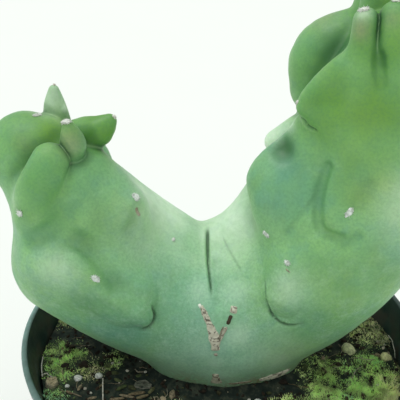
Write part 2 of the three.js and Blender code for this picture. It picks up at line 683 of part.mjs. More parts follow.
// A flake of bark: a flat slab with a broken outline.
function flakeGeometry([x, y, length, width, height, turn], seed, sink, grow) {
  const corners = 7;
  const outline = new THREE.Shape();
  for (let corner = 0; corner < corners; corner += 1) {
    const angle = corner * 2 * Math.PI / corners;
    const reach = 1 + FLAKE_RAGGED * (hash(corner, seed, 3) - 0.5);
    const px = Math.cos(angle) * (length / 2) * reach + Math.sign(Math.cos(angle)) * grow;
    const py = Math.sin(angle) * (width / 2) * reach + Math.sign(Math.sin(angle)) * grow;
    if (corner === 0) outline.moveTo(px, py);
    else outline.lineTo(px, py);
  }
  const slab = new THREE.ExtrudeGeometry(outline, { depth: height + 2 * grow, bevelEnabled: false });
  slab.translate(0, 0, -height / 2 - grow);
  slab.rotateX((hash(seed, 1, 4) - 0.5) * FLAKE_TILT * DEGREE);
  slab.rotateZ(turn * DEGREE);
  return slab.translate(x, y, soilHeight(x, y) + height * (0.5 - sink));
}

function stripped(geometry) {
  geometry.deleteAttribute('normal');
  geometry.deleteAttribute('uv');
  return geometry;
}

function pebbles() {
  return PEBBLES.map((size, i) => named(
    `pebble_${i + 1}`,
    toGeometry(toSolid(stoneGeometry(size, i + 1, PEBBLE_SINK, 0))),
    i < 4 ? 0xd9ddd2 : 0xc9bd92,
    0.85,
  ));
}

function bark() {
  return BARK.map((size, i) => named(
    `bark_chip_${i + 1}`,
    toGeometry(toSolid(flakeGeometry(size, i + 1, BARK_SINK, 0))),
    0x6b4c34,
    0.9,
  ));
}

function soil() {
  let solid = soilBlock().subtract(stemHole());
  PEBBLES.forEach((size, i) => {
    solid = solid.subtract(toSolid(stoneGeometry(size, i + 1, PEBBLE_SINK, GAP)));
  });
  BARK.forEach((size, i) => {
    solid = solid.subtract(toSolid(flakeGeometry(size, i + 1, BARK_SINK, GAP)));
  });
  return named('soil', toGeometry(solid), 0x2a251c, 0.95);
}

const plant = new THREE.Group();
plant.add(cactus(), pot(), soil(), ...pebbles(), ...bark());

export default plant;
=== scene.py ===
"""Looks of a young totem pole cactus in its nursery pot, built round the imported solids.

The tables are in millimetres, as in the solids' own source, and MM turns them into metres where a
mesh is made. +X is the side of the taller arm, -Y the front, and Z starts under the pot.
"""
import math
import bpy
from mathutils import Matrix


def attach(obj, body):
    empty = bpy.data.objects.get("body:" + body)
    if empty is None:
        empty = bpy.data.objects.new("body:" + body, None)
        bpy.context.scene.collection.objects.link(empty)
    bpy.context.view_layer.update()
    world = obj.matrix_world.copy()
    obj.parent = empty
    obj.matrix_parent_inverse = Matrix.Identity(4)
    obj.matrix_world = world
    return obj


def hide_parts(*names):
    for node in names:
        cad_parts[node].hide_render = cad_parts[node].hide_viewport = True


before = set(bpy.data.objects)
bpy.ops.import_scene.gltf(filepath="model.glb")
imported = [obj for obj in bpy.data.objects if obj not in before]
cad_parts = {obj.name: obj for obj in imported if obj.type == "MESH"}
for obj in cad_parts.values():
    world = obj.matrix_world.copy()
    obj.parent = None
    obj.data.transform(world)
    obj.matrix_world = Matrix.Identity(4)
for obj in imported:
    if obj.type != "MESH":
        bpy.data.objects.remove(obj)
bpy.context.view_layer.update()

from concurrent.futures import ThreadPoolExecutor

import bmesh
import bpy
import numpy as np
from mathutils import Matrix, Vector

MM = 0.001
SEED = 41
WORKERS = 4
CHUNK = 12000

# ---------------------------------------------------------------- pot and soil
POT_HEIGHT = 110
RIM_RADIUS = 75
BASE_RADIUS = 51
WALL = 1.8
FLOOR = 2.4
LIP_WIDTH = 2.2
BAND_HEIGHT = 14
FOOT_ROUNDING = 1
FOOT_EDGE = [BASE_RADIUS + 0.4, 6]
# Points of the pot's outline over its band: [in from the rim, up from the band's foot].
BAND_OUTLINE = [[2.3, -0.3], [2.0, 0.2], [1.6, 4], [1.2, 9], [1, 10], [0.3, 10.5]]
DRAIN_HOLES = 6
DRAIN_RADIUS = 4.5
DRAIN_CIRCLE = 35
DRAIN_SIDES = 40
POT_SIDES = 160
SOIL_LEVEL = 97
SOIL_RELIEF = 1.6
SWELL_LENGTH = 21
CRUMB_LENGTH = 7
CRUMB_SHARE = 0.45
WALL_DIP_FROM = 52
WALL_DIP_REACH = 19
SOIL_RINGS = 78
SOIL_SECTORS = 400
GAP = 0.35

# ---------------------------------------------------------------- stem
STEM_X = 2
STEM_Y = 1.5
STEM_PROFILE = [[9, 62], [13.5, 66], [17.5, 74], [21, 84], [23.6, 93], [24.6, 100], [22.4, 107]]
STEM_WIDE = 1.15
STEM_DEEP = 0.91
STEM_ROUNDNESS = 0.64
BANK_HEIGHT = 3.7
BANK_REACH = 6.5
FOOT_SOFTNESS = 5
REACH = 14
PATH_STEP = 3.5
FOLD_STEP = 1.5
CREASE_STEP = 0.8
# The skin's mesh: its box, its cells, BLOCK of them to a coarse block, and where edges are cut in
# two: across a bend of more than BEND degrees, and within each of the bands round a crease.
SKIN_BOX = [-92, -44, 60], [92, 44, 244]
CELL = 1.2
BLOCK = 4
BLOCK_SLACK = 1.12
BLOCK_MARGIN = 0.3
BEND = 16
BEND_CUTS = 2
CREASE_BANDS = ((4.0, 2.0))
# Fine relief of the skin: the height, the length and the seed of each noise.
SKIN_RELIEF = [(0.16, 11, 3), (0.07, 3.4, 4), (0.03, 1.3, 5)]

# The stem is a run of balls [x, y, z, radius] for each arm and each lobe, from its tip down, and
# the two numbers after it say how softly its ends run into what is there already.
STROKES = [
    ("trunk", [[2, 1.5, 108, 25], [0, 0, 114, 27], [-3, -1, 121, 25]], 0, 0),
    ("left arm", [[-8, 0, 120, 24.5], [-27, 0, 130, 25], [-43, 0, 143, 24.5], [-51, 0, 156, 22],
        [-54.5, 0, 168, 18.5], [-55, 0, 175, 15]], 6, 9),
    ("right arm", [[8, 0, 119, 25.5], [26, 0, 132, 27], [41, 0, 149, 27.5], [48, 0, 170, 25.5],
        [51, 0, 192, 23.5], [53, 0, 210, 17], [53, 0, 221, 10.5]], 6, 9),
    ("left crown west", [[-59.5, 1, 168, 9.5], [-67.5, 1, 181, 13], [-60.5, 0, 184, 10.3]], 7, 1.2),
    ("left east ridge", [[-45, -6, 176.5, 9], [-40, -6.5, 171, 8.5], [-34, -10, 165, 8]], 3, 12),
    ("left shoulder", [[-50, -12, 175, 7], [-48, -13.5, 167, 8.5]], 5, 6),
    ("left crown front", [[-55, -15, 184.6, 6], [-57, -16.8, 180.2, 6.7], [-59.8, -16, 173.5, 7.6],
        [-60.6, -14, 165, 8]], 0.8, 6),
    ("left saddle", [[-40, 4, 164, 9], [-28, 4, 154, 9.5], [-13, 2, 142, 10.5]], 6, 5),
    ("left low bulge", [[-55, -11, 150, 15], [-46, -12.5, 145, 14.5], [-32, -17.2, 137, 12]], 4, 0.5),
    ("left crest", [[-48, -23.6, 155.5, 3], [-41.6, -25.4, 149, 3], [-37.5, -26.4, 143.5, 3],
        [-32, -26.8, 139, 3.2], [-27, -25.6, 132.5, 3.2]], 3.5, 2),
    ("left underside", [[-58, -3, 138.5, 17], [-38, -3, 126.5, 18], [-15, -3, 116.5, 19]], 9, 9),
    ("left west", [[-57.5, 9, 167, 9], [-57.5, 8, 150, 12.5]], 6, 8),
    ("left north west", [[-59, 15, 163, 8], [-57, 16, 150, 10.5]], 4, 1.5),
    ("left north low", [[-40, 16, 148, 12], [-30, 18, 136, 12]], 5, 1.2),
    ("right fin west", [[46, 12.5, 220.5, 7.3], [34.3, 13, 211.5, 11], [32.5, 13, 200.3, 9.5]], 3, 2),
    ("right core", [[47, -7, 223, 6.5], [47, -6, 208, 11]], 2, 2),
    ("right face", [[38, -10.5, 211, 8.2], [33, -11.2, 205.5, 7], [38, -10.5, 196, 10]], 5, 5),
    ("right slope", [[38.4, -14.5, 218.8, 3.5], [34.5, -14, 214.8, 3.5], [29.2, -13.5, 209.4, 3.5],
        [25.7, -13, 204.9, 3.2], [24.7, -12.5, 202.8, 2.5]], 2, 3),
    ("right corner", [[25.5, -12, 201.5, 3.2], [33, -12, 199, 7]], 2, 4),
    ("right notch", [[27, -9.5, 194.5, 4.2], [28.5, -9.5, 188, 6.5]], 3, 4),
    ("right rim", [[24.6, -8, 195, 2.4], [22.8, -6.8, 190.6, 2.6], [19.6, -6, 187, 2.6],
        [16.4, -6.5, 183.2, 2.8], [13.8, -7, 179.3, 3.4], [12.8, -8, 175.6, 4]], 2, 6),
    ("right east column", [[65, -6, 219, 6.5], [65, -5, 206, 9.5]], 1.5, 2),
    ("right saddle", [[0, 3, 140.5, 11], [11, 4, 151, 10.5], [19, 5, 164, 10]], 5, 6),
    ("right west lobe", [[27, -8, 185, 4.5], [18.7, -9, 174, 9.6], [21, -12, 161, 9.2],
        [26, -16, 150, 8]], 5, 5),
    ("right cheek", [[26.5, -10, 185, 5], [27, -12.2, 176, 7.2], [27.5, -13.8, 166, 7.8]], 4, 5),
    ("right ridge", [[40, -14, 188, 8], [37, -17.2, 173, 6.6], [37, -18.2, 167.5, 6.2]], 7, 4),
    ("right bulge", [[57, -12, 180, 14], [54, -12, 162, 16]], 8, 8),
    ("right belly", [[34, -14, 152, 12], [32.5, -15.8, 139, 13]], 6, 7),
    ("right low lobe", [[22.5, -18.5, 150, 7.5], [21.9, -20.6, 139, 8.9]], 3, 0.4),
    ("right underside", [[50, -2, 148, 18], [34, -3, 130, 19], [16, -3, 116.5, 19.2]], 9, 9),
    ("right east ridge", [[68, -2, 198, 6], [65, 0, 186, 9], [60, 0, 168, 13]], 3, 8),
    ("right north tip", [[47, 19, 214, 6], [46, 19, 202, 8.5], [43, 18, 188, 11]], 2, 1.2),
    ("right north mid", [[52, 17, 182, 10], [48, 18, 166, 12]], 4, 1.2),
    ("right north low", [[34, 16, 164, 12], [28, 17, 146, 13]], 5, 1.2),
    ("right back west", [[34, 16, 194, 6], [32, 15, 181, 8]], 3, 1.5),
    ("right east low", [[69, -3, 168, 8], [61, -4, 150, 13]], 5, 1.5),
    ("right east north", [[64, 14, 194, 7], [60, 15, 177, 10]], 3, 1.5),
    ("left west low", [[-63.5, 8, 157, 6.5], [-62.5, 8, 145, 10.5]], 4, 1.5),
    ("trunk north", [[4, 10, 136, 13], [2, 11, 116, 15]], 6, 6),
    ("left crown east", [[-37.6, -0.3, 192.6, 2.6], [-41.5, -0.5, 189.2, 5.2], [-48, 2, 186.5, 6],
        [-54, 4, 180, 5]], 2.2, 1.5),
    ("spike", [[-56.7, 8, 200.6, 1.8], [-56.9, 8, 195, 3.7], [-56.5, 7, 186, 5.3], [-56, 5, 176, 6]],
        1, 2),
    ("cone", [[-48.9, -11, 195.2, 1.8], [-48.4, -11, 192.2, 3.2], [-47.9, -10.8, 188.6, 4.2],
        [-49, -9.5, 184.5, 3.6]], 0.8, 1),
    ("left north tip", [[-51, 14, 182, 5], [-48, 16, 172, 7.5], [-46, 12, 160, 9]], 1, 2.5),
    ("right column", [[39.4, -15, 228.6, 3.5], [39.6, -15, 222, 4.2], [40.5, -14, 214, 6.5],
        [42, -12, 204, 10], [43, -7, 192, 12]], 1, 2.5),
    ("column east", [[47.4, -16, 229.8, 4.4], [49.2, -16.5, 218, 6.8], [51, -13, 204, 11],
        [51, -6, 192, 12]], 1, 2.5),
    ("crown west", [[46, 1, 237, 4.4], [47.5, 1, 227, 6.5], [48.5, 1, 214, 8]], 1, 2.5),
    ("crown front", [[53.5, -3, 238, 5], [53, -1, 227, 8], [52, -1, 214, 9]], 1, 2.5),
    ("crown north", [[49, 12, 235, 5], [49, 10, 224, 8.5], [49, 8, 212, 9]], 1, 2.5),
    ("crown east", [[61, 7, 229, 5.5], [58, 6, 218, 9], [55, 5, 206, 9]], 1, 2.5),
    ("small lobe", [[19.6, 12, 180.3, 4.4], [26.6, 11, 185.2, 5.2], [38, 8, 190, 8]], 1, 2.5),
]
# Folds of the skin: a line near it, the fold's half width and its depth.
FOLDS = [
    ([[-61.4, -20.7, 159.4], [-57.7, -20.8, 162.4], [-52.6, -20.5, 165.9], [-47.5, -20.3, 169.5]],
        2.8, 2.6),
    ([[-50, -20.5, 163], [-45.5, -22, 156], [-40.5, -25, 151], [-35.5, -27, 145.5], [-30, -27.2, 140]],
        3.2, 2.6),
    ([[-27.7, -15, 167], [-31, -18, 161]], 2.5, 1.4),
    ([[-39, -19, 167], [-36, -21, 158]], 5, 1.2),
    ([[44.2, -19.5, 219], [44.6, -22, 212]], 1.8, 1.3),
    ([[18.6, -9, 186.2], [20.8, -10.5, 185]], 3.0, 2.6),
    ([[37, -7.5, 222.5], [34.2, -7.5, 217.5], [31, -7, 213.5], [28.2, -6.5, 209.5]], 3.0, 3.2),
    ([[33.2, -18.5, 185], [30.6, -19.4, 177], [30.2, -20.7, 168.6], [32, -22.2, 164], [37, -25, 162.8]],
        1.4, 1.5),
    ([[-2.2, -12, 144], [-1.2, -18, 139.5], [-0.8, -22, 135.5]], 2.0, 0.9),
    ([[28.9, -19.8, 174.3], [24.8, -20.9, 168.7], [20.5, -20.6, 161.9]], 1.0, 0.55),
    ([[45.9, -17, 180], [44.8, -19, 177.5], [41.7, -21.6, 173.6]], 2.4, 1.2),
    ([[38.2, -26.4, 160.8], [41.8, -27, 163.9]], 1.8, 1.0),
]
# Sharp creases on the skin: a line, its half width, its depth, and the height of the lip that
# stands along its left side.
CREASES = [
    ([[-5, 2, 153], [-5, -8, 147.5], [-4.3, -16, 142.5], [-3.4, -22.2, 136.4]], 0.6, 1.0, 0.5),
    ([[0.1, -4.1, 151.4], [2.1, -7.8, 148.4], [4.7, -12.8, 145.7], [7, -17.1, 143.3]], 0.5, 0.22, 0.12),
    ([[23.6, -11.5, 198.3], [24.5, -13.4, 198], [26.2, -13.8, 196.5], [28.6, -16.9, 195.4]],
        0.5, 0.55, 0.4),
    ([[27.5, -28.5, 132.2], [24.3, -27.4, 130.1], [20.5, -26.5, 130], [17, -25.3, 132.6],
        [15, -25.9, 136.8], [13.9, -24, 141], [14, -21.1, 145]], 0.6, 0.8, 0.3),
    ([[-23.7, -26, 138], [-23.3, -25, 133], [-24.2, -25.4, 129.2], [-26.5, -25.5, 127],
        [-29, -25.4, 126.6]], 0.6, 0.8, 0.3),
]

# ---------------------------------------------------------------- small helpers


def smoothstep(value):
    value = np.clip(value, 0, 1)
    return value * value * (3 - 2 * value)


def lattice(x, y, z, seed):
    value = np.sin(x * 127.1 + y * 311.7 + z * 269.5 + seed * 74.7) * 43758.5453
    return value - np.floor(value)


def noise(points, seed):
    """Smooth noise from -1 to 1 with a swell about one unit long."""
    cell = np.floor(points)
    share = smoothstep(points - cell)
    total = np.zeros(len(points))
    for corner in np.ndindex(2, 2, 2):
        weight = np.prod(np.where(corner, share, 1 - share), axis=1)
        total += weight * lattice(*(cell + corner).T, seed)
    return total * 2 - 1


def flat_noise(x, y, length, seed):
    """Noise over a plane with a swell about that long."""
    x, y = np.broadcast_arrays(x, y)
    return noise(np.stack([x / length, y / length, np.zeros(x.shape)], -1), seed)


def full_turn(count):
    return np.arange(count) * 2 * np.pi / count


def circle(radius, height, count):
    turn = full_turn(count)
    return np.stack([radius * np.cos(turn), radius * np.sin(turn), np.full(count, float(height))], -1)


def spokes(side, up, count):
    """A ring of radius one in the plane of each pair of directions."""
    turn = full_turn(count)[None, :, None]
    return np.cos(turn) * side[:, None] + np.sin(turn) * up[:, None]


def unit(vectors):
    return vectors / (np.linalg.norm(vectors, axis=-1, keepdims=True) + 1e-12)


def bell(value, width):
    return np.exp(-(value / width) ** 2)


# ---------------------------------------------------------------- the stem's form as a distance field
def smooth_run(balls, step=PATH_STEP):
    """A smooth run of balls through the given ones."""
    balls = np.array(balls, float)
    if len(balls) < 3:
        return balls
    ends = np.vstack([2 * balls[0] - balls[1], balls, 2 * balls[-1] - balls[-2]])
    run = []
    for a, b, c, d in zip(ends, ends[1:], ends[2:], ends[3:]):
        steps = max(1, math.ceil(np.linalg.norm((c - b)[:3]) / step))
        for u in np.arange(steps) / steps:
            run.append(0.5 * (2 * b + (c - a) * u + (2 * a - 5 * b + 4 * c - d) * u * u
                              + (3 * b - a - 3 * c + d) * u ** 3))
    return np.array(run + [balls[-1]])


def smooth_line(line, step):
    """A smooth run of points through the given ones."""
    return smooth_run([[*point, 0] for point in line], step)[:, :3]


def round_cone(points, a, b):
    """Distance to the skin stretched over two balls."""
    chord = b[:3] - a[:3]
    length2 = chord @ chord
    taper = a[3] - b[3]
    slant2 = max(length2 - taper * taper, 1e-6)
    from_a = points - a[:3]
    along = from_a @ chord
    beyond = along - length2
    across2 = ((from_a * length2 - along[:, None] * chord) ** 2).sum(1)
    edge = np.sign(taper) * taper * taper * across2
    side = (np.sqrt(across2 * slant2 / length2) + along * taper) / length2 - a[3]
    at_a = np.sqrt(across2 + along * along * length2) / length2 - a[3]
    at_b = np.sqrt(across2 + beyond * beyond * length2) / length2 - b[3]
    distance = np.where(np.sign(along) * slant2 * along * along * length2 < edge, at_a, side)
    return np.where(np.sign(beyond) * slant2 * beyond * beyond * length2 > edge, at_b, distance)


def soft_union(a, b, softness):
    softness = np.maximum(softness, 1e-3)
    share = np.clip(0.5 + 0.5 * (b - a) / softness, 0, 1)
    return b + (a - b) * share - softness * share * (1 - share)


def foot_distance(points):
    """The foot under the fork: wider than deep with rounded corners, down into the soil."""
    radii, heights = np.array(STEM_PROFILE, float).T
    radius = np.interp(points[:, 2], heights, radii)
    power = 2 / STEM_ROUNDNESS
    x = np.abs(points[:, 0] - STEM_X) / (STEM_WIDE * radius)
    y = np.abs(points[:, 1] - STEM_Y) / (STEM_DEEP * radius)
    side = ((x ** power + y ** power) ** (1 / power) - 1) * STEM_DEEP * radius
    return np.maximum(side, np.maximum(heights[0] - points[:, 2], points[:, 2] - heights[-1]))


def line_distance(points, line):
    nearest = np.full(len(points), np.inf)
    for a, b in zip(line, line[1:]):
        chord = b - a
        share = np.clip((points - a) @ chord / (chord @ chord), 0, 1)
        nearest = np.minimum(nearest, ((points - a - share[:, None] * chord) ** 2).sum(1))
    return np.sqrt(nearest)


RUNS = [(smooth_run(balls), first, last) for _, balls, first, last in STROKES]
PRESSED = []


def inside_box(points, low, high):
    return ((points > low) & (points < high)).all(1)


def field_chunk(points):
    distance = soft_union(foot_distance(points), stroke_distance(points, RUNS[0][0]), FOOT_SOFTNESS)
    for run, first, last in RUNS[1:]:
        centres, radii = run[:, :3], run[:, 3:]
        near = inside_box(points, (centres - radii).min(0) - REACH, (centres + radii).max(0) + REACH)
        if near.any():
            chord = centres[-1] - centres[0]
            share = np.clip((points[near] - centres[0]) @ chord / (chord @ chord), 0, 1)
            softness = first + (last - first) * share
            distance[near] = soft_union(distance[near], stroke_distance(points[near], run), softness)
    for line, width, depth in PRESSED:
        near = inside_box(points, line.min(0) - 3 * width, line.max(0) + 3 * width)
        if near.any():
            distance[near] += depth * bell(line_distance(points[near], line), width)
    return distance


def stroke_distance(points, run):
    nearest = round_cone(points, run[0], run[1])
    for a, b in zip(run[1:], run[2:]):
        nearest = np.minimum(nearest, round_cone(points, a, b))
    return nearest


def field(points):
    """Signed distance to the skin, worked out in chunks by a few workers."""
    chunks = np.array_split(points, max(1, len(points) // CHUNK))
    with ThreadPoolExecutor(WORKERS) as pool:
        return np.concatenate(list(pool.map(field_chunk, chunks)))


TETRAHEDRON = np.array([[1, -1, -1], [-1, -1, 1], [-1, 1, -1], [1, 1, 1]], float)


def field_and_slope(points, step=0.1):
    around = field((points + step * TETRAHEDRON[:, None]).reshape(-1, 3)).reshape(4, -1)
    return around.mean(0), np.einsum("kn,ka->na", around, TETRAHEDRON) / (4 * step)


def pull_onto(points, times=2, limit=0.5):
    """Moves points down the field's slope onto the skin, and gives the skin's directions there."""
    points = np.array(points, float)
    for _ in range(times):
        distance, slope = field_and_slope(points)
        move = np.clip(distance / ((slope ** 2).sum(1) + 1e-9), -limit, limit)
        points -= slope * move[:, None]
    return points, unit(field_and_slope(points)[1])


def press_folds():
    """Lays each fold's line on the skin as it is without folds, where field_chunk then finds it."""
    laid = [pull_onto(smooth_line(line, FOLD_STEP), times=8, limit=1.5)[0] for line, _, _ in FOLDS]
    PRESSED.extend((line, width, depth) for line, (_, width, depth) in zip(laid, FOLDS))


# ---------------------------------------------------------------- skin of the field
def crossed_blocks(low, blocks, size):
    centres = low + (np.indices(blocks).reshape(3, -1).T + 0.5) * size
    distance = field(centres).reshape(blocks)
    return distance, np.abs(distance) < size * 0.5 * math.sqrt(3) * BLOCK_SLACK + BLOCK_MARGIN


def grid_values(low, blocks):
    """The field at every grid point near the skin, and its sign alone at the others."""
    distance, near = crossed_blocks(low, blocks, CELL * BLOCK)
    count = [n * BLOCK + 1 for n in blocks]
    spread = lambda a: np.repeat(np.repeat(np.repeat(a, BLOCK, 0), BLOCK, 1), BLOCK, 2)
    values = np.pad(spread(distance), ((0, 1),) * 3, mode="edge")
    wanted = np.zeros(count, bool)
    fine = spread(near)
    for corner in np.ndindex(2, 2, 2):
        wanted[tuple(slice(c, n - 1 + c) for c, n in zip(corner, count))] |= fine
    values[wanted] = field(low + np.argwhere(wanted) * CELL)
    return values


def skin_mesh(low, high):
    """One corner in each grid cell that the skin crosses, one face for each grid edge it crosses."""
    low = np.array(low, float)
    blocks = [int(n) for n in np.ceil((np.array(high) - low) / (CELL * BLOCK))]
    values = grid_values(low, blocks)
    solid = values < 0
    cells = [n - 1 for n in solid.shape]
    corners = list(np.ndindex(2, 2, 2))
    windows = [tuple(slice(c, n + c) for c, n in zip(corner, cells)) for corner in corners]
    filled = sum(solid[window].astype(np.int8) for window in windows)
    crossed = np.argwhere((filled > 0) & (filled < 8))
    owner = np.full(cells, -1)
    owner[tuple(crossed.T)] = np.arange(len(crossed))
    total = np.zeros((len(crossed), 3))
    hits = np.zeros(len(crossed))
    for corner in corners:
        for axis in range(3):
            if corner[axis] == 0:
                start = crossed + corner
                end = start + np.eye(3, dtype=int)[axis]
                a, b = values[tuple(start.T)], values[tuple(end.T)]
                cut = (a < 0) != (b < 0)
                point = start[cut].astype(float)
                point[:, axis] += (a / (a - b + 1e-12))[cut]
                total[cut] += point
                hits[cut] += 1
    points = low + total / hits[:, None] * CELL
    faces = []
    for axis in range(3):
        u, v = np.eye(3, dtype=int)[(axis + 1) % 3], np.eye(3, dtype=int)[(axis + 2) % 3]
        first = np.moveaxis(solid, axis, 0)
        change = np.moveaxis(first[:-1] != first[1:], 0, axis)
        start = np.argwhere(change)
        around = [owner[tuple((start - a * u - b * v).T)] for a, b in ((0, 0), (1, 0), (1, 1), (0, 1))]
        quads = np.stack(around, -1)
        outward = solid[tuple(start.T)]
        quads[~outward] = quads[~outward][:, ::-1]
        faces.append(quads)
    return pull_onto(points, limit=CELL / 3)[0], np.vstack(faces)


def cut_edges(points, faces, chosen):
    """Cuts in two each edge whose ends are both chosen, and its faces with it."""
    mesh = bpy.data.meshes.new("work")
    mesh.from_pydata(points.tolist(), [], faces)
    work = bmesh.new()
    work.from_mesh(mesh)
    edges = [edge for edge in work.edges if all(chosen[vertex.index] for vertex in edge.verts)]
    bmesh.ops.subdivide_edges(work, edges=edges, cuts=1, use_grid_fill=True)
    work.verts.index_update()
    points = np.array([vertex.co for vertex in work.verts])
    faces = [[vertex.index for vertex in face.verts] for face in work.faces]
    work.free()
    bpy.data.meshes.remove(mesh)
    return points, faces


# ---------------------------------------------------------------- meshes into the scene
def add_piece(name, points, faces, material, slot, replaced=(), smooth=True, **attributes):
    """A mesh piece from points in millimetres, with one number per point for each attribute."""
    mesh = bpy.data.meshes.new(name)
    mesh.from_pydata((np.asarray(points, float) * MM).tolist(), [], [list(map(int, f)) for f in faces])
    mesh.polygons.foreach_set("use_smooth", [smooth] * len(mesh.polygons))
    for key, values in attributes.items():
        mesh.attributes.new(key, "FLOAT", "POINT").data.foreach_set("value", np.asarray(values, np.float32))
    mesh.materials.append(material)
    mesh.validate()
    piece = bpy.data.objects.new(name, mesh)
    bpy.context.scene.collection.objects.link(piece)
    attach(piece, "root")
    if replaced:
        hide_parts(*replaced)
    return piece


def loft(rings):
    """Points and faces of rings joined in turn, closed by a fan at each end."""
    count = len(rings[0])
    points = np.vstack(rings)
    next_one = np.roll(np.arange(count), -1)
    faces = []
    for ring in range(len(rings) - 1):
        a, b = ring * count, (ring + 1) * count
        here = np.arange(count)
        faces.append(np.stack([a + here, a + next_one, b + next_one, b + here], -1))
    faces = np.vstack(faces).tolist()
    start, end = len(points), len(points) + 1
    points = np.vstack([points, rings[0].mean(0), rings[-1].mean(0)])
    last = (len(rings) - 1) * count
    faces += [[start, int(next_one[i]), i] for i in range(count)]
    faces += [[end, last + i, last + int(next_one[i])] for i in range(count)]
    return points, faces


def random_turns(random, count, lean):
    """Turns about a random upright angle, then a lean away from upright up to the given one."""
    spin = random.uniform(0, 2 * np.pi, count)
    tilt = random.uniform(0, lean, count)
    heading = random.uniform(0, 2 * np.pi, count)
    turns = []
    for a, b, c in zip(spin, tilt, heading):
        axis = Vector((math.cos(c), math.sin(c), 0))
        turns.append(np.array(Matrix.Rotation(b, 3, axis) @ Matrix.Rotation(a, 3, "Z")))
    return np.array(turns)


def ball(levels):
    """Points and faces of a ball of radius one."""
    work = bmesh.new()
    bmesh.ops.create_icosphere(work, subdivisions=levels, radius=1)
    points = np.array([vertex.co for vertex in work.verts])
    faces = np.array([[vertex.index for vertex in face.verts] for face in work.faces])
    work.free()
    return points, faces


# A direction that no hair or tube follows, to cross theirs with.
ODD_WAY = [0.31, 0.17, 0.93]


def hairs(roots, ahead, lengths, radii, bend):
    """Closed three-sided hairs, each tip moved by its bend."""
    side = unit(np.cross(ahead, ODD_WAY))
    ring = spokes(side, np.cross(ahead, side), 3) * np.asarray(radii)[:, None, None]
    middle = roots + ahead * lengths[:, None] * 0.55 + bend * 0.3
    tip = roots + ahead * lengths[:, None] + bend
    points = np.concatenate([roots[:, None] + ring, middle[:, None] + 0.75 * ring, tip[:, None]], 1)
    sides = [[0, 1, 4, 3], [1, 2, 5, 4], [2, 0, 3, 5]]
    caps = [[2, 1, 0], [3, 4, 6], [4, 5, 6], [5, 3, 6]]
    starts = np.arange(len(roots))[:, None, None] * points.shape[1]
    faces = (np.array(sides) + starts).reshape(-1, 4).tolist()
    faces += (np.array(caps) + starts).reshape(-1, 3).tolist()
    return points.reshape(-1, 3), faces


def closed_sheet(top, bottom):
    """Points and faces of a body between two grids of points that are joined round their edges."""
    rows, columns = top.shape[:2]
    index = np.arange(rows * columns).reshape(rows, columns)
    upper = np.stack([index[:-1, :-1], index[:-1, 1:], index[1:, 1:], index[1:, :-1]], -1).reshape(-1, 4)
    lower = upper[:, ::-1] + index.size
    edge = np.concatenate([index[0, :-1], index[:-1, -1], index[-1, :0:-1], index[:0:-1, 0]])
    after = np.roll(edge, -1)
    wall = np.stack([after, edge, edge + index.size, after + index.size], -1)
    return np.vstack([top.reshape(-1, 3), bottom.reshape(-1, 3)]), np.vstack([upper, lower, wall])


def joined(parts, *values):
    """One set of points and faces out of several, and each part's values spread over its points."""
    points, faces, start = [], [], 0
    for part_points, part_faces in parts:
        points.append(part_points)
        faces += [[start + int(index) for index in face] for face in part_faces]
        start += len(part_points)
    spread = [np.concatenate([np.broadcast_to(value, len(part)) for value, part in zip(row, points)])
              for row in values]
    return np.vstack(points), faces, *spread


def tube(path, radii, sides=6):
    """A closed tube along a path of points."""
    ahead = unit(np.gradient(path, axis=0))
    side = unit(np.cross(ahead, ODD_WAY))
    ring = spokes(side, np.cross(ahead, side), sides)
    return loft(list(path[:, None] + radii[:, None, None] * ring))


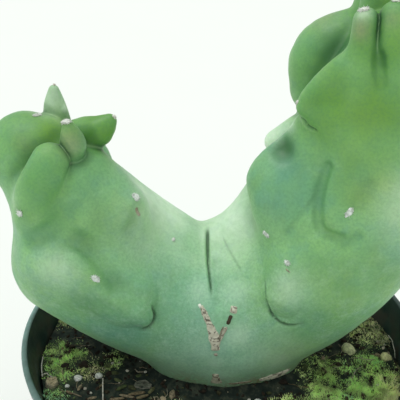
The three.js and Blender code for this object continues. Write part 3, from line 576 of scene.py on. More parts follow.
# ---------------------------------------------------------------- materials
class Paint:
    """The node tree of one material, with short words for what its colours are mixed from."""

    def __init__(self, name, **sockets):
        self.material = bpy.data.materials.new(name)
        self.material.use_nodes = True
        self.tree = self.material.node_tree
        self.shader = next(n for n in self.tree.nodes if n.type == "BSDF_PRINCIPLED")
        for key, value in sockets.items():
            self.shader.inputs[key.replace("_", " ").title().replace("Ior", "IOR")].default_value = value
        self.place = self.node("ShaderNodeTexCoord").outputs["Object"]

    def node(self, kind, inputs=None, **settings):
        made = self.tree.nodes.new(kind)
        for key, value in settings.items():
            setattr(made, key, value)
        for key, value in (inputs or {}).items():
            if isinstance(value, bpy.types.NodeSocket):
                self.tree.links.new(value, made.inputs[key])
            else:
                made.inputs[key].default_value = value
        return made

    def noise(self, size, detail=3.0, rough=0.55, stretch=None):
        """Noise from 0 to 1 whose swells are about that many millimetres long."""
        place = self.place
        if stretch:
            place = self.node("ShaderNodeMapping", {"Vector": place, "Scale": stretch}).outputs["Vector"]
        inputs = {"Vector": place, "Scale": 1 / (size * MM), "Detail": detail, "Roughness": rough}
        return self.node("ShaderNodeTexNoise", inputs).outputs["Fac"]

    def dots(self, size):
        inputs = {"Vector": self.place, "Scale": 1 / (size * MM)}
        return self.node("ShaderNodeTexVoronoi", inputs).outputs["Distance"]

    def attribute(self, name):
        return self.node("ShaderNodeAttribute", attribute_name=name).outputs["Fac"]

    def between(self, value, low, high, to_low=0.0, to_high=1.0):
        """Maps low..high of a value smoothly to another span."""
        inputs = {"Value": value, "From Min": low, "From Max": high, "To Min": to_low, "To Max": to_high}
        return self.node("ShaderNodeMapRange", inputs, interpolation_type="SMOOTHSTEP").outputs["Result"]

    def times(self, a, b):
        return self.node("ShaderNodeMath", {0: a, 1: b}, operation="MULTIPLY").outputs[0]

    def mix(self, share, a, b):
        made = self.node("ShaderNodeMix", {"Factor": share}, data_type="RGBA")
        for socket, value in ((made.inputs[6], a), (made.inputs[7], b)):
            if isinstance(value, bpy.types.NodeSocket):
                self.tree.links.new(value, socket)
            else:
                socket.default_value = (*value, 1)
        return made.outputs[2]

    def ramp(self, value, *stops):
        made = self.node("ShaderNodeValToRGB", {"Fac": value})
        elements = made.color_ramp.elements
        while len(elements) < len(stops):
            elements.new(0.5)
        for element, (at, colour) in zip(elements, stops):
            element.position = at
            element.color = (*colour, 1)
        return made.outputs["Color"]

    def finish(self, colour, roughness=None, height=None, depth=0.1):
        self.tree.links.new(colour, self.shader.inputs["Base Color"])
        if roughness is not None:
            self.tree.links.new(roughness, self.shader.inputs["Roughness"])
        if height is not None:
            bump = self.node("ShaderNodeBump", {"Height": height, "Strength": 1.0, "Distance": depth * MM})
            self.tree.links.new(bump.outputs["Normal"], self.shader.inputs["Normal"])
        return self.material


# The skin's own colours, those that its tints turn it to, and the light and shade painted on it: painted
# shade in its gaps, folds and valleys, painted highlight on its ridges, and the pale bloom, which is partly
# painted highlight.
MINT = (0.255, 0.545, 0.210)
SAGE = (0.190, 0.460, 0.200)
TEAL = (0.115, 0.320, 0.255)
LEAF = (0.108, 0.300, 0.014)
LIME = (0.250, 0.460, 0.060)
# Pale waxy bloom, also laid on as painted highlight.
BLOOM_AND_HIGHLIGHT = (0.800, 0.970, 0.780)
# Dark green of painted shade.
PAINTED_SHADE = (0.037, 0.152, 0.040)
GLAUCOUS = (0.300, 0.610, 0.400)
# Painted shade deep in folds and creases.
PAINTED_FOLD_SHADE = (0.020, 0.085, 0.022)
ROSE = (0.420, 0.360, 0.250)
CORK = (0.260, 0.200, 0.100)
# Painted highlight on ridges.
PAINTED_RIDGE_HIGHLIGHT = (0.400, 0.580, 0.300)
DUST = (0.060, 0.200, 0.100)
# Soft patches over the whole skin: the noise, where it sets in and is full, its share, its colour.
MOTTLE = [
    ((6.5, 4.0, 0.62), (0.46, 0.68), 0.50, (0.155, 0.400, 0.255)),
    ((8, 5.0, 0.65), (0.52, 0.72), 0.40, (0.360, 0.660, 0.370)),
    ((9, 4.0, 0.6, (1.0, 1.0, 0.6)), (0.50, 0.72), 0.35, (0.215, 0.410, 0.120)),
]
# Fine patches where the skin is worn, in the same form.
WEAR = [
    ((4.5, 6.0, 0.72), (0.50, 0.66), 0.30, (0.500, 0.760, 0.580)),
    ((5.5, 5.0, 0.7, (1.0, 1.0, 0.8)), (0.54, 0.70), 0.30, (0.070, 0.270, 0.140)),
    ((1.5, 5.0, 0.7), (0.42, 0.72), 0.36, (0.420, 0.620, 0.470)),
]


def skin_material():
    paint = Paint("cactus_skin", roughness=0.5, specular_ior_level=0.45, sheen_weight=0.12,
                  sheen_roughness=0.35, sheen_tint=(0.9, 1.0, 0.88, 1), subsurface_weight=0.15,
                  subsurface_radius=(0.5, 1.0, 0.35), subsurface_scale=0.0022)
    colour = paint.mix(paint.between(paint.noise(15, 2.0), 0.36, 0.66), MINT, SAGE)
    for texture, span, share, tone in MOTTLE:
        colour = paint.mix(paint.times(paint.between(paint.noise(*texture), *span), share), colour, tone)
    # The last of these tints is painted shade.
    tints = {"glaucous": GLAUCOUS, "teal": TEAL, "young": LEAF, "lime": LIME, "painted_shade": PAINTED_SHADE}
    for name, tone in tints.items():
        colour = paint.mix(paint.attribute(name), colour, tone)
    streaks = paint.between(paint.noise(2.2, 4.0), 0.2, 0.75, 0.75, 1.0)
    # Pale waxy bloom, which on the saddles, the upward faces and edges is painted highlight.
    colour = paint.mix(paint.times(paint.attribute("bloom_and_highlight"), streaks), colour, BLOOM_AND_HIGHLIGHT)
    # Rose is the skin's own colour; the valley and fold mixes are painted shade.
    for name, share, tone in (("rose", 1.0, ROSE), ("valley_shade", 0.34, PAINTED_SHADE), ("fold", 0.85, PAINTED_FOLD_SHADE)):
        colour = paint.mix(paint.times(paint.attribute(name), share), colour, tone)
    # Painted highlight along the ridges.
    colour = paint.mix(paint.between(paint.attribute("ridge"), 0.15, 0.7, 0.0, 0.35), colour, PAINTED_RIDGE_HIGHLIGHT)
    bare = paint.between(paint.attribute("bloom_and_highlight"), 0.0, 0.8, 1.0, 0.2)
    worn = paint.times(paint.attribute("speckle"), bare)
    for texture, span, share, tone in WEAR:
        patch = paint.times(worn, paint.between(paint.noise(*texture), *span))
        colour = paint.mix(paint.times(patch, share), colour, tone)
    specks = paint.times(paint.between(paint.dots(0.62), 0.30, 0.10), worn)
    colour = paint.mix(paint.times(specks, 0.38), colour, (0.55, 0.72, 0.56))
    dirt = paint.times(bare, paint.between(paint.noise(0.9, 3.0, 0.7), 0.35, 0.7, 0.0, 0.26))
    colour = paint.mix(dirt, colour, DUST)
    cork = paint.times(paint.attribute("cork"), paint.between(paint.noise(1.3, 5.0), 0.35, 0.6))
    colour = paint.mix(cork, colour, CORK)
    gloss = paint.between(paint.noise(5, 3), 0.3, 0.7, 0.42, 0.58)
    return paint.finish(colour, gloss, paint.noise(0.55, 3.0), 0.07)


# ---------------------------------------------------------------- cactus
# Where the skin's colour changes: [x, y, z, reach, strength] of soft spots for each tint. Some tints are
# painted light: one paints shade, and the bloom is partly painted highlight.
TINTS = {
    "young": [
        [40, -18, 224, 12, 0.9], [45.5, -22, 222, 12, 0.9], [31, -17, 208, 12, 0.85],
        [-56, -2, 190, 17, 0.95], [-42, 0, 189, 11, 1.15], [-48, -11, 192, 5, 0.9],
        [-57, -20, 180, 12, 0.6], [-62, -20, 171, 9, 0.4], [50, -6, 226, 26, 0.95], [38, 8, 210, 20, 0.7],
        [45, -16, 205, 16, 0.95], [32, -16, 200, 12, 0.8], [46, -24, 190, 15, 0.5],
        [55, -26, 188, 14, 0.3],
    ],
    "lime": [
        [39, -25, 141, 12, 0.4], [54, -24, 147, 9, 0.35], [49, -19, 226, 5, 0.55], [-56, 3, 190, 5, 0.55],
        [-55.5, 5, 195.4, 3, 0.4], [26, -24, 116, 11, 0.35], [-40, -20, 166, 8, 0.25],
        [41, -26, 177, 6, 0.6], [47, -27, 182, 4, 0.6], [-54.5, 2, 192, 4, 0.6], [40, -24, 200, 12, 0.3],
        [32, -18, 196, 6, 0.3], [34, -30, 150, 14, 0.35], [-60, -24, 168, 7, 0.3],
        [-43, -26, 150, 4, 0.4], [17, -24, 144, 8, 0.35], [-57, -4, 190, 4, 0.4], [-30, -14, 165, 6, 0.3],
        [-52, -20, 168, 8, 0.25],
    ],
    "glaucous": [
        [0, -26, 112, 16, 0.95], [20, -22, 108, 10, 0.5], [-4, -22, 136, 14, 0.65],
        [22, -28, 143, 9, 0.35], [-18, -20, 104, 10, 0.4], [-12, -12, 148, 9, 0.4],
    ],
    # Teal: the lower parts' own blue-green. The strong spot at [20, -11, 182] darkens the hollow under the
    # right rim as painted shade.
    "teal": [
        [-12, -24, 120, 17, 0.6], [18, -28, 118, 14, 0.3], [-36, -26, 124, 13, 0.85],
        [20, -11, 182, 8, 0.75], [26, -28, 138, 8, 0.35], [-30, -24, 150, 10, 0.3],
        [-10, -22, 132, 9, 0.3], [-44, -20, 176, 8, 0.3], [26, -18, 174, 7, 0.35],
        [16, -17, 170, 7, 0.35], [-20, -24, 148, 8, 0.3],
    ],
    # Painted shade: darker green in the gaps between lobes, in the groove between the crown's columns,
    # under the right rim and on the lower sides.
    "painted_shade": [
        [-46, -28, 139, 9, 0.5], [-60, -20, 140, 9, 0.34], [20, -8.6, 186, 4.8, 0.95],
        [36, 1, 216.4, 7, 1.1], [53, -26.5, 149.5, 9, 0.15], [43.1, -13, 228.5, 2.4, 1.1],
        [43.2, -14, 225.5, 2.4, 1.1], [43.1, -16, 229.2, 1.1, 1.0], [43.1, -16.4, 228, 1.1, 1.0],
        [43.2, -16.8, 226.9, 1.1, 1.0], [43.3, -17.3, 225.7, 1.1, 1.0], [43.4, -17.9, 224.5, 1.1, 0.9],
        [43.7, -19, 222.3, 1.1, 0.7], [43.9, -19.9, 220.6, 1.4, 0.9], [44.1, -20.5, 219.3, 1.5, 1.0],
        [44.3, -20.9, 217.6, 1.3, 0.8], [37, -29, 145, 11, 0.18], [-36, -20, 164.5, 7, 0.14],
        [33, 0, 212, 6, 0.5], [-36, -27, 147, 5, 0.5], [30, 2, 206, 8, 0.3],
    ],
    # Pale waxy bloom. On the saddles, the upward faces, the right arm's pale bulge and the spike's edge it
    # is also painted highlight.
    "bloom_and_highlight": [
        [-54, -26, 151, 8, 0.45], [60, -24, 174, 12, 0.75], [-24, 0, 158, 16, 1.0], [2, 2, 154, 16, 0.95],
        [-38, -4, 172, 8, 0.45], [20, 13, 177, 13, 1.25], [12, 2, 170, 9, 0.7], [18, -4, 188, 3, 0.5],
        [22.5, -7, 194, 3, 0.5], [-8, -10, 148, 7, 0.35], [12, -10, 153, 7, 0.35],
        [-56.8, 6, 197, 6, 0.75], [31, -13.5, 211, 2.5, 0.35], [-70, 2, 172, 7, 0.4],
        [-2.5, -27, 113, 4, 0.45], [6, -26, 124, 6, 0.35], [-14, -22, 112, 12, 0.25],
        [0, -26, 106, 12, 0.28], [-8, -26, 117, 10, 0.25], [14, -25, 118, 10, 0.28],
        [-8, -20, 139, 5, 0.3], [4, -20, 139, 6, 0.3], [18, -26, 113, 12, 0.38],
        [20.5, -27, 145, 7, 0.33], [-40, -20, 167, 6, 0.1], [38, -17, 231, 2.5, 0.6],
        [-53.4, 6.2, 195, 2, 1.1], [46, 1, 238, 4, 0.4],
    ],
    "rose": [
        [-48.5, -13, 190, 4.5, 0.5], [36.8, -18.6, 226.5, 3, 0.55], [50, -4, 236, 3, 0.3],
        [45.5, -19.7, 230, 2.5, 0.35], [-64, -8, 188, 3.5, 0.3], [33, 12, 222, 5, 0.3],
    ],
    "cork": [
        [12, -21, 100, 5, 1.0], [22, -18.5, 100.5, 4.5, 1.0], [2, -22, 97.5, 6, 0.7],
        [-12, -20, 97, 8, 0.7], [28, -14, 101, 5, 0.6],
    ],
}


def tint(points, name):
    total = np.zeros(len(points))
    for x, y, z, reach, strength in TINTS[name]:
        away = np.linalg.norm(points - [x, y, z], axis=1)
        total = np.maximum(total, strength * bell(away, reach))
    wobble = 0.88 + 0.25 * noise(points / 7, 11)
    return np.clip(total * wobble, 0, 1)


# How a crease is pressed in, in half widths of it: how far it reaches, where its lip stands and how
# wide, how far the lip reaches, how wide the shade in it is. It fades out over a share of its length.
CREASE_REACH = 5
LIP_AWAY = 2.2
LIP_SPREAD = 1.6
LIP_REACH = 4
CREASE_SHADE = 0.75
CREASE_FADE = 0.2


def crease_lines():
    """Each crease's line laid on the skin, with the skin's directions along it."""
    laid = [pull_onto(smooth_line(line, CREASE_STEP), times=4) for line, _, _, _ in CREASES]
    return [(*on_skin, width, depth, lip) for on_skin, (_, width, depth, lip) in zip(laid, CREASES)]


def press_creases(points, outward, lines):
    """Presses each sharp crease into the skin with a low lip along its left side, and gives the painted
    shade along it.
    """
    moved = points.copy()
    fold = np.zeros(len(points))
    for line, line_out, width, depth, lip in lines:
        margin = CREASE_REACH * width
        near = np.flatnonzero(inside_box(points, line.min(0) - margin, line.max(0) + margin))
        here = points[near]
        index = np.linalg.norm(here[:, None] - line[None], axis=2).argmin(1)
        away = line_distance(here, line)
        along = unit(np.gradient(line, axis=0))[index]
        side = ((here - line[index]) * np.cross(along, line_out[index])).sum(1)
        share = index / (len(line) - 1)
        fade = smoothstep(share / CREASE_FADE) * smoothstep((1 - share) / CREASE_FADE)
        raised = lip * bell(side - LIP_AWAY * width, LIP_SPREAD * width) * bell(away, LIP_REACH * width)
        moved[near] += outward[near] * ((raised - depth * bell(away, width)) * fade)[:, None]
        # Painted shade along the crease, kept as the fold mask.
        dark = bell(away, CREASE_SHADE * width) * fade * min(1, 1.3 * depth)
        fold[near] = np.maximum(fold[near], dark)
    return moved, fold


def sharp_corners(points, faces):
    """True at each corner where the skin turns by more than BEND across a face."""
    slope = unit(field_and_slope(points)[1])
    sharp = np.zeros(len(points), bool)
    for size in (3, 4):
        group = np.array([face for face in faces if len(face) == size])
        if len(group):
            turn = np.einsum("fia,fja->fij", slope[group], slope[group]).min((1, 2))
            sharp[group[turn < math.cos(math.radians(BEND))]] = True
    return sharp


# The masks of painted shade in folds and valleys and of painted highlight on ridges probe the skin's form
# this far over it. Folds and valleys show past these thresholds.
PROBE = 1.2
WIDE_PROBE = 5
HOLLOW_GAIN = 2.2
FOLD_FROM = 0.5
VALLEY_FROM = 0.12
# Speckles are full this far down from their upper limit, where there are none.
SPECKLE_TOP = 175
SPECKLE_REACH = 60


def hollow(points, outward, reach):
    """How much the skin closes in over a point, or falls away under it if the reach is negative."""
    return np.clip(1 - field(points + outward * reach) / reach, 0, 1)


def cut_round(points, faces, lines, reach):
    """Cuts the edges that are near one of the lines."""
    chosen = np.zeros(len(points), bool)
    for line, *_ in lines:
        near = inside_box(points, line.min(0) - reach, line.max(0) + reach)
        chosen[near] |= line_distance(points[near], line) < reach
    return cut_edges(points, faces, chosen)


def cactus():
    press_folds()
    points, faces = skin_mesh(*SKIN_BOX)
    lines = crease_lines()
    for _ in range(BEND_CUTS):
        points, faces = cut_edges(points, faces, sharp_corners(points, faces))
        points = pull_onto(points, times=1, limit=0.4)[0]
    for reach in CREASE_BANDS:
        points, faces = cut_round(points, faces, lines, reach)
    points, outward = pull_onto(points, times=1, limit=0.3)
    points, fold = press_creases(points, outward, lines)
    relief = sum(height * noise(points / length, seed) for height, length, seed in SKIN_RELIEF)
    points = points + outward * relief[:, None]
    masks = {name: tint(points, name) for name in TINTS}
    # Painted highlight where the skin falls away under a point, on ridges.
    masks["ridge"] = hollow(points, outward, -PROBE)
    # Painted shade in broad hollows of the skin.
    masks["valley_shade"] = smoothstep(HOLLOW_GAIN * hollow(points, outward, WIDE_PROBE) - VALLEY_FROM)
    # Painted shade where the skin closes in over a point, in folds and creases.
    closed = smoothstep(HOLLOW_GAIN * hollow(points, outward, PROBE) - FOLD_FROM)
    masks["fold"] = np.maximum(fold, closed)
    low = smoothstep((SPECKLE_TOP - points[:, 2]) / SPECKLE_REACH)
    masks["speckle"] = np.clip(low * (0.7 + 0.4 * noise(points / 9, 6)), 0, 1)
    add_piece("cactus_body", points, faces, skin_material(), "cactus_skin", ["cactus"], **masks)


# ---------------------------------------------------------------- areoles
# Areoles sit on the lobes' ends and crests: [x, y, z, length, width, turn in degrees, blush].
AREOLES = [
    [-61.3, 0.3, 194.6, 3.6, 1.6, 75, 0.15], [-49.2, -11.6, 196.4, 3.4, 2.1, 75, 0.15],
    [-35.6, -1, 194.6, 1.5, 1.2, 0, 0.3], [-64.7, -21.5, 169.8, 2.9, 2.1, 60, 0.05],
    [-28.7, -12.8, 171, 2.9, 2.4, -20, 0], [-41.8, -26.3, 148.7, 3.4, 1.9, -55, 0],
    [-56.4, 8, 202.4, 0.9, 0.8, 0, 0.5], [-51, 15, 187, 2.4, 2.0, 30, 0.3],
    [-60, 22, 160, 2.6, 2.2, 80, 0.1], [-36, 30, 150, 2.8, 2.1, 50, 0.1],
    [-77, 2, 152, 2.6, 2.0, 20, 0.1], [-22, 28, 130, 2.6, 2.2, 0, 0.2],
    [38.1, -16, 232, 3.2, 2.0, 75, 0.15], [47.4, -16, 234.2, 3.4, 2.6, 60, 0.2],
    [23.4, -12.6, 203, 1.7, 1.1, 30, 0.2], [38.7, -23, 171.3, 3.4, 2.0, 38, 0],
    [14, -17.9, 159.9, 3.0, 1.8, -50, 0], [21, -23.8, 152.8, 2.2, 1.5, -45, 0],
    [46, 1, 241.6, 3.2, 2.6, 40, 0.4], [54, -4, 243, 3.4, 2.8, 0, 0.3], [49, 14, 240, 3.0, 2.6, 20, 0.4],
    [64, 8, 234, 3.0, 2.4, 0, 0.3], [67, -9, 225, 2.8, 2.0, 30, 0.2], [33, 22, 220, 2.4, 1.8, 40, 0.2],
    [17, 14, 173, 2.2, 1.8, 0, 0.1], [47, 26, 218, 2.8, 2.2, 0, 0.2], [55, 28, 186, 2.8, 2.2, 60, 0.1],
    [33, 29, 168, 2.8, 2.2, -30, 0.1], [74, -2, 202, 2.8, 2.0, 10, 0.1], [78, -6, 178, 2.8, 2.0, 0, 0],
    [30, 22, 197, 2.4, 1.8, 30, 0.1], [6, 24, 140, 2.4, 2.0, 0, 0.2], [56, -29, 196, 2.8, 2.0, 20, 0],
    [-16, -9.5, 153.5, 1.5, 1.1, 30, 0.1],
]
PAD_HEIGHT = 0.5
# Hairs on each areole, their radius, and their lengths in widths of the areole.
WOOL = 110
WOOL_RADIUS = 0.06
WOOL_LENGTHS = (0.147, 0.42)


def skin_directions(outward):
    """Two directions along the skin, the first as near upright as it goes."""
    upright = np.array([0.0, 0.25, 1.0])
    up = unit(upright - outward * (outward @ upright))
    return up, np.cross(up, outward)


def wool_material():
    paint = Paint("areole_wool", roughness=0.95, specular_ior_level=0.1, sheen_weight=0.3,
                  sheen_roughness=0.6)
    colour = paint.ramp(paint.noise(0.7, 4), (0.25, (0.40, 0.45, 0.37)), (0.45, (0.74, 0.81, 0.74)),
                        (0.7, (0.88, 0.93, 0.90)))
    blushed = paint.mix(paint.noise(1.4, 3), (0.62, 0.42, 0.30), (0.82, 0.74, 0.58))
    colour = paint.mix(paint.attribute("blush"), colour, blushed)
    return paint.finish(colour, None, paint.noise(0.25, 3), 0.08)


def areoles():
    random = np.random.default_rng(SEED)
    template, template_faces = ball(3)
    places, outward = pull_onto([row[:3] for row in AREOLES], times=10, limit=1)
    parts, blush = [], []
    for seed, (row, place, out) in enumerate(zip(AREOLES, places, outward)):
        length, width, turn, tone = row[3:]
        up, side = skin_directions(out)
        turn = math.radians(turn)
        along = up * math.cos(turn) + side * math.sin(turn)
        axes = np.array([along * length / 2, np.cross(out, along) * width / 2, out * PAD_HEIGHT])
        lumps = 0.92 + 0.34 * noise(template * 1.7, seed) + 0.2 * noise(template * 4.3, seed + 50)
        parts.append((place + template * lumps[:, None] @ axes, template_faces))
        spread = unit(random.normal(size=(WOOL, 3)) * [1, 1, 0.6] + [0, 0, 0.5])
        ways = unit(spread @ axes + 0.5 * random.normal(size=(WOOL, 3)))
        lengths = random.uniform(*WOOL_LENGTHS, WOOL) * width
        bend = 0.3 * lengths[:, None] * random.normal(size=(WOOL, 3))
        radii = np.full(WOOL, WOOL_RADIUS)
        parts.append(hairs(place + 0.8 * spread @ axes, ways, lengths, radii, bend))
        blush += [tone, tone]
    points, faces, blush = joined(parts, blush)
    add_piece("areoles", points, faces, wool_material(), "cactus_skin", blush=blush)


# ---------------------------------------------------------------- corky scars
SCAR_ROOT = 0.8
SCAR_STEP = 0.28
SCAR_ENDS = 1.2
CRACK_WIDTH = 0.16


def scar_material():
    paint = Paint("corky_scar", roughness=0.85, specular_ior_level=0.2)
    colour = paint.ramp(paint.noise(1.6, 4), (0.3, (0.32, 0.29, 0.19)), (0.5, (0.48, 0.45, 0.32)),
                        (0.7, (0.66, 0.64, 0.50)))
    colour = paint.mix(paint.attribute("pale"), colour, (0.82, 0.84, 0.76))
    colour = paint.mix(paint.attribute("crack"), colour, (0.060, 0.048, 0.030))
    return paint.finish(colour, None, paint.noise(0.4, 4), 0.08)


def scar_strip(line, widths, height, cracks, seed, columns=11):
    """A closed strip along a line on the skin: its edges sink in, and cracks cross it."""
    stops = np.array([[*point, width] for point, width in zip(line, widths)])
    if len(stops) == 2:
        stops = np.insert(stops, 1, stops.mean(0), axis=0)
    run = smooth_run(stops, SCAR_STEP)
    middle, outward = pull_onto(run[:, :3], times=4, limit=1)
    side = np.cross(unit(np.gradient(middle, axis=0)), outward)
    across = np.linspace(-1, 1, columns)
    length = np.arange(len(run)) * SCAR_STEP
    ragged = run[:, 3] * (1 + 0.25 * flat_noise(length, seed, 1.1, seed))
    spread = middle[:, None] + side[:, None] * (across[None, :, None] * ragged[:, None, None])
    foot, out = pull_onto(spread.reshape(-1, 3), times=3)
    arc = np.repeat(length, columns)
    slot = np.tile(across, len(run))
    wave = flat_noise(arc * cracks + 0.5 * slot, slot * 0.8, 1, seed)
    crack = smoothstep(1 - np.abs(wave) / CRACK_WIDTH)
    dome = (1 - slot ** 2) * smoothstep(np.minimum(arc, arc.max() - arc) / SCAR_ENDS)
    relief = height * (0.35 + 0.65 * dome) * (1 + 0.4 * wave)
    relief -= 0.8 * height * crack * dome + 0.3 * (1 - dome) ** 3
    top = (foot + out * relief[:, None]).reshape(len(run), columns, 3)
    bottom = (foot - out * SCAR_ROOT).reshape(len(run), columns, 3)
    return closed_sheet(top, bottom), np.tile(crack, 2)


# Each scar is a line on the skin with its half widths, its height, how often cracks cross it, and
# how pale or how dark it is.
SCARS = [
    ([[-7.4, -23, 135], [-5.7, -24.6, 131.5], [-4.0, -26, 127.5], [-2.7, -27, 123.5],
        [-2.3, -27.5, 118.8]], [0.6, 1.1, 1.3, 1.8, 1.3], 0.55, 1.0, 0.25, 0),
    ([[-8.0, -22.7, 135.4], [-7.4, -23.2, 133.8]], [0.7, 0.6], 0.6, 0.3, 0.95, 0),
    ([[4.0, -22.8, 134.8], [3.4, -23.8, 131.9]], [1.2, 1.4], 0.45, 1.1, 0.25, 0.05),
    ([[3.0, -24, 132.0], [1.6, -25, 128.4]], [0.8, 0.65], 0.5, 0.2, 0, 1),
    ([[1.6, -25.2, 128.0], [0.4, -26.0, 126.2], [-0.8, -26.9, 122.8]], [0.5, 0.7, 0.3],
        0.3, 1.2, 0.2, 0.2),
    ([[0.4, -25.4, 128.4], [-0.6, -26.3, 126], [-1.3, -27, 123.4]], [0.25, 0.3, 0.25],
        0.3, 1.2, 0.1, 0.5),
    ([[-2.6, -27.6, 118.2], [-1.8, -27.7, 116.2]], [1.0, 0.6], 0.25, 1.6, 0.2, 0.3),
    ([[-2.4, -26.5, 107.6], [-2, -25.8, 103.6], [-1.8, -25, 100]], [1.0, 1.8, 2.1],
        0.35, 0.85, 0.15, 0.1),
    ([[2, -22.5, 101], [5.5, -22.5, 100.7], [11.5, -22.2, 100.8]], [0.5, 0.8, 0.5], 0.2, 1.1, 0, 0.45),
    ([[13.6, -21.6, 101.1], [18.5, -20.2, 101.5], [22.4, -18.9, 101.9], [25.6, -17.5, 102.4]],
        [0.8, 1.6, 1.9, 0.7], 0.4, 1.2, 0.3, 0),
    ([[-27.6, -15.1, 168.4], [-26.5, -16.1, 165.6]], [0.9, 0.6], 0.35, 0.4, 0, 0.35),
    ([[20.4, -24.1, 151.2], [22.2, -24.6, 149.6]], [0.3, 0.25], 0.2, 0.5, 0, 0.3),
]


def scars():
    parts, crack = [], []
    for seed, (line, widths, height, cracks, _, darkness) in enumerate(SCARS):
        sheet, lines = scar_strip(line, widths, height, cracks, seed + 70)
        parts.append(sheet)
        crack.append(np.maximum(lines, darkness))
    points, faces, crack, pale = joined(parts, crack, [row[4] for row in SCARS])
    add_piece("corky_scars", points, faces, scar_material(), "cactus_skin", crack=crack, pale=pale)


# ---------------------------------------------------------------- pot
def inner_radius(height):
    share = (height - FLOOR) / (POT_HEIGHT - FLOOR)
    return BASE_RADIUS - WALL + (RIM_RADIUS - LIP_WIDTH - BASE_RADIUS + WALL) * share


def arc(centre, radius, start, end, steps):
    """Profile points on an arc, angles in degrees."""
    angles = np.radians(np.linspace(start, end, steps))
    return [[centre[0] + radius * math.cos(a), centre[1] + radius * math.sin(a)] for a in angles]


def pot_material():
    paint = Paint("pot_plastic", roughness=0.42, specular_ior_level=0.5)
    dust = paint.noise(7, 6, 0.62)
    streak = paint.noise(5, 5, 0.6, stretch=(1, 1, 0.18))
    colour = paint.mix(paint.between(streak, 0.3, 0.75), (0.010, 0.030, 0.025), (0.020, 0.048, 0.040))
    # Painted highlight on the lip, patchy like wear.
    worn = paint.times(paint.attribute("lip"), paint.between(paint.noise(3, 5), 0.2, 0.7, 0.55, 1.0))
    colour = paint.mix(worn, colour, (0.225, 0.395, 0.355))
    soiled = paint.times(paint.attribute("soiled"), paint.between(dust, 0.42, 0.62))
    colour = paint.mix(soiled, colour, (0.045, 0.046, 0.034))
    return paint.finish(colour, paint.between(dust, 0.3, 0.7, 0.34, 0.6), paint.noise(0.8, 3), 0.05)


def drain_cutter():
    work = bmesh.new()
    radius = DRAIN_RADIUS * MM
    for hole in range(DRAIN_HOLES):
        angle = (hole + 0.5) * 2 * math.pi / DRAIN_HOLES
        at = Matrix.Translation(Vector((math.cos(angle), math.sin(angle), 0)) * DRAIN_CIRCLE * MM)
        bmesh.ops.create_cone(work, cap_ends=True, segments=DRAIN_SIDES, radius1=radius, radius2=radius,
                              depth=6 * FLOOR * MM, matrix=at)
    mesh = bpy.data.meshes.new("drain_cutter")
    work.to_mesh(mesh)
    work.free()
    cutter = bpy.data.objects.new("drain_cutter", mesh)
    bpy.context.scene.collection.objects.link(cutter)
    return cutter


def pot_profile():
    """The pot's outline: up the outside, over the lip, down the inside to the floor."""
    band_foot = POT_HEIGHT - BAND_HEIGHT
    edge = np.array(FOOT_EDGE)
    under_band = np.array([inner_radius(band_foot) + WALL - 0.2, band_foot - 1.5])
    profile = [[BASE_RADIUS - 6, 0]]
    profile += arc((BASE_RADIUS - FOOT_ROUNDING, FOOT_ROUNDING), FOOT_ROUNDING, -90, 0, 5)
    profile.append(edge)
    profile += [edge + (under_band - edge) * share for share in np.linspace(0.08, 1, 14)]
    profile += [[RIM_RADIUS - inward, band_foot + up] for inward, up in BAND_OUTLINE]
    profile += arc((RIM_RADIUS - 0.8, POT_HEIGHT - 0.9), 0.8, -10, 90, 6)
    profile += arc((RIM_RADIUS - LIP_WIDTH + 0.7, POT_HEIGHT - 0.7), 0.7, 95, 175, 6)
    profile += [[inner_radius(h), h] for h in np.linspace(POT_HEIGHT - 2, FLOOR + 3, 20)]
    return profile + arc((inner_radius(FLOOR + 2) - 2.5, FLOOR + 2.5), 2.5, 0, -90, 5)


def pot():
    points, faces = loft([circle(radius, height, POT_SIDES) for radius, height in pot_profile()])
    x, y, height = points.T
    around = np.hypot(x, y)
    inside = around < inner_radius(height) + 0.2
    # A painted highlight along the lip, patchy like wear, shows most at the back and to the left.
    lip = smoothstep((height - POT_HEIGHT + 3.5) / 2.5) * ~inside
    lip *= 0.5 + 0.5 * smoothstep((around - RIM_RADIUS + LIP_WIDTH) / LIP_WIDTH)
    lip *= (0.5 + 0.5 * smoothstep((y + 35) / 45)) * (1 - 0.85 * smoothstep(x / 60))
    # Soil clings to the wall a little over and under its level.
    soiled = smoothstep((height - SOIL_LEVEL + 8) / 6) * smoothstep((POT_HEIGHT - 2 - height) / 8)
    piece = add_piece("nursery_pot", points, faces, pot_material(), "pot", ["pot"],
                      lip=lip, soiled=np.where(inside, soiled, 0.1))
    cutter = drain_cutter()
    modifier = piece.modifiers.new("drain holes", "BOOLEAN")
    modifier.operation = "DIFFERENCE"
    modifier.object = cutter
    bpy.context.view_layer.update()
    cut = bpy.data.meshes.new_from_object(piece.evaluated_get(bpy.context.evaluated_depsgraph_get()))
    piece.modifiers.clear()
    piece.data = cut
    bpy.data.objects.remove(cutter)


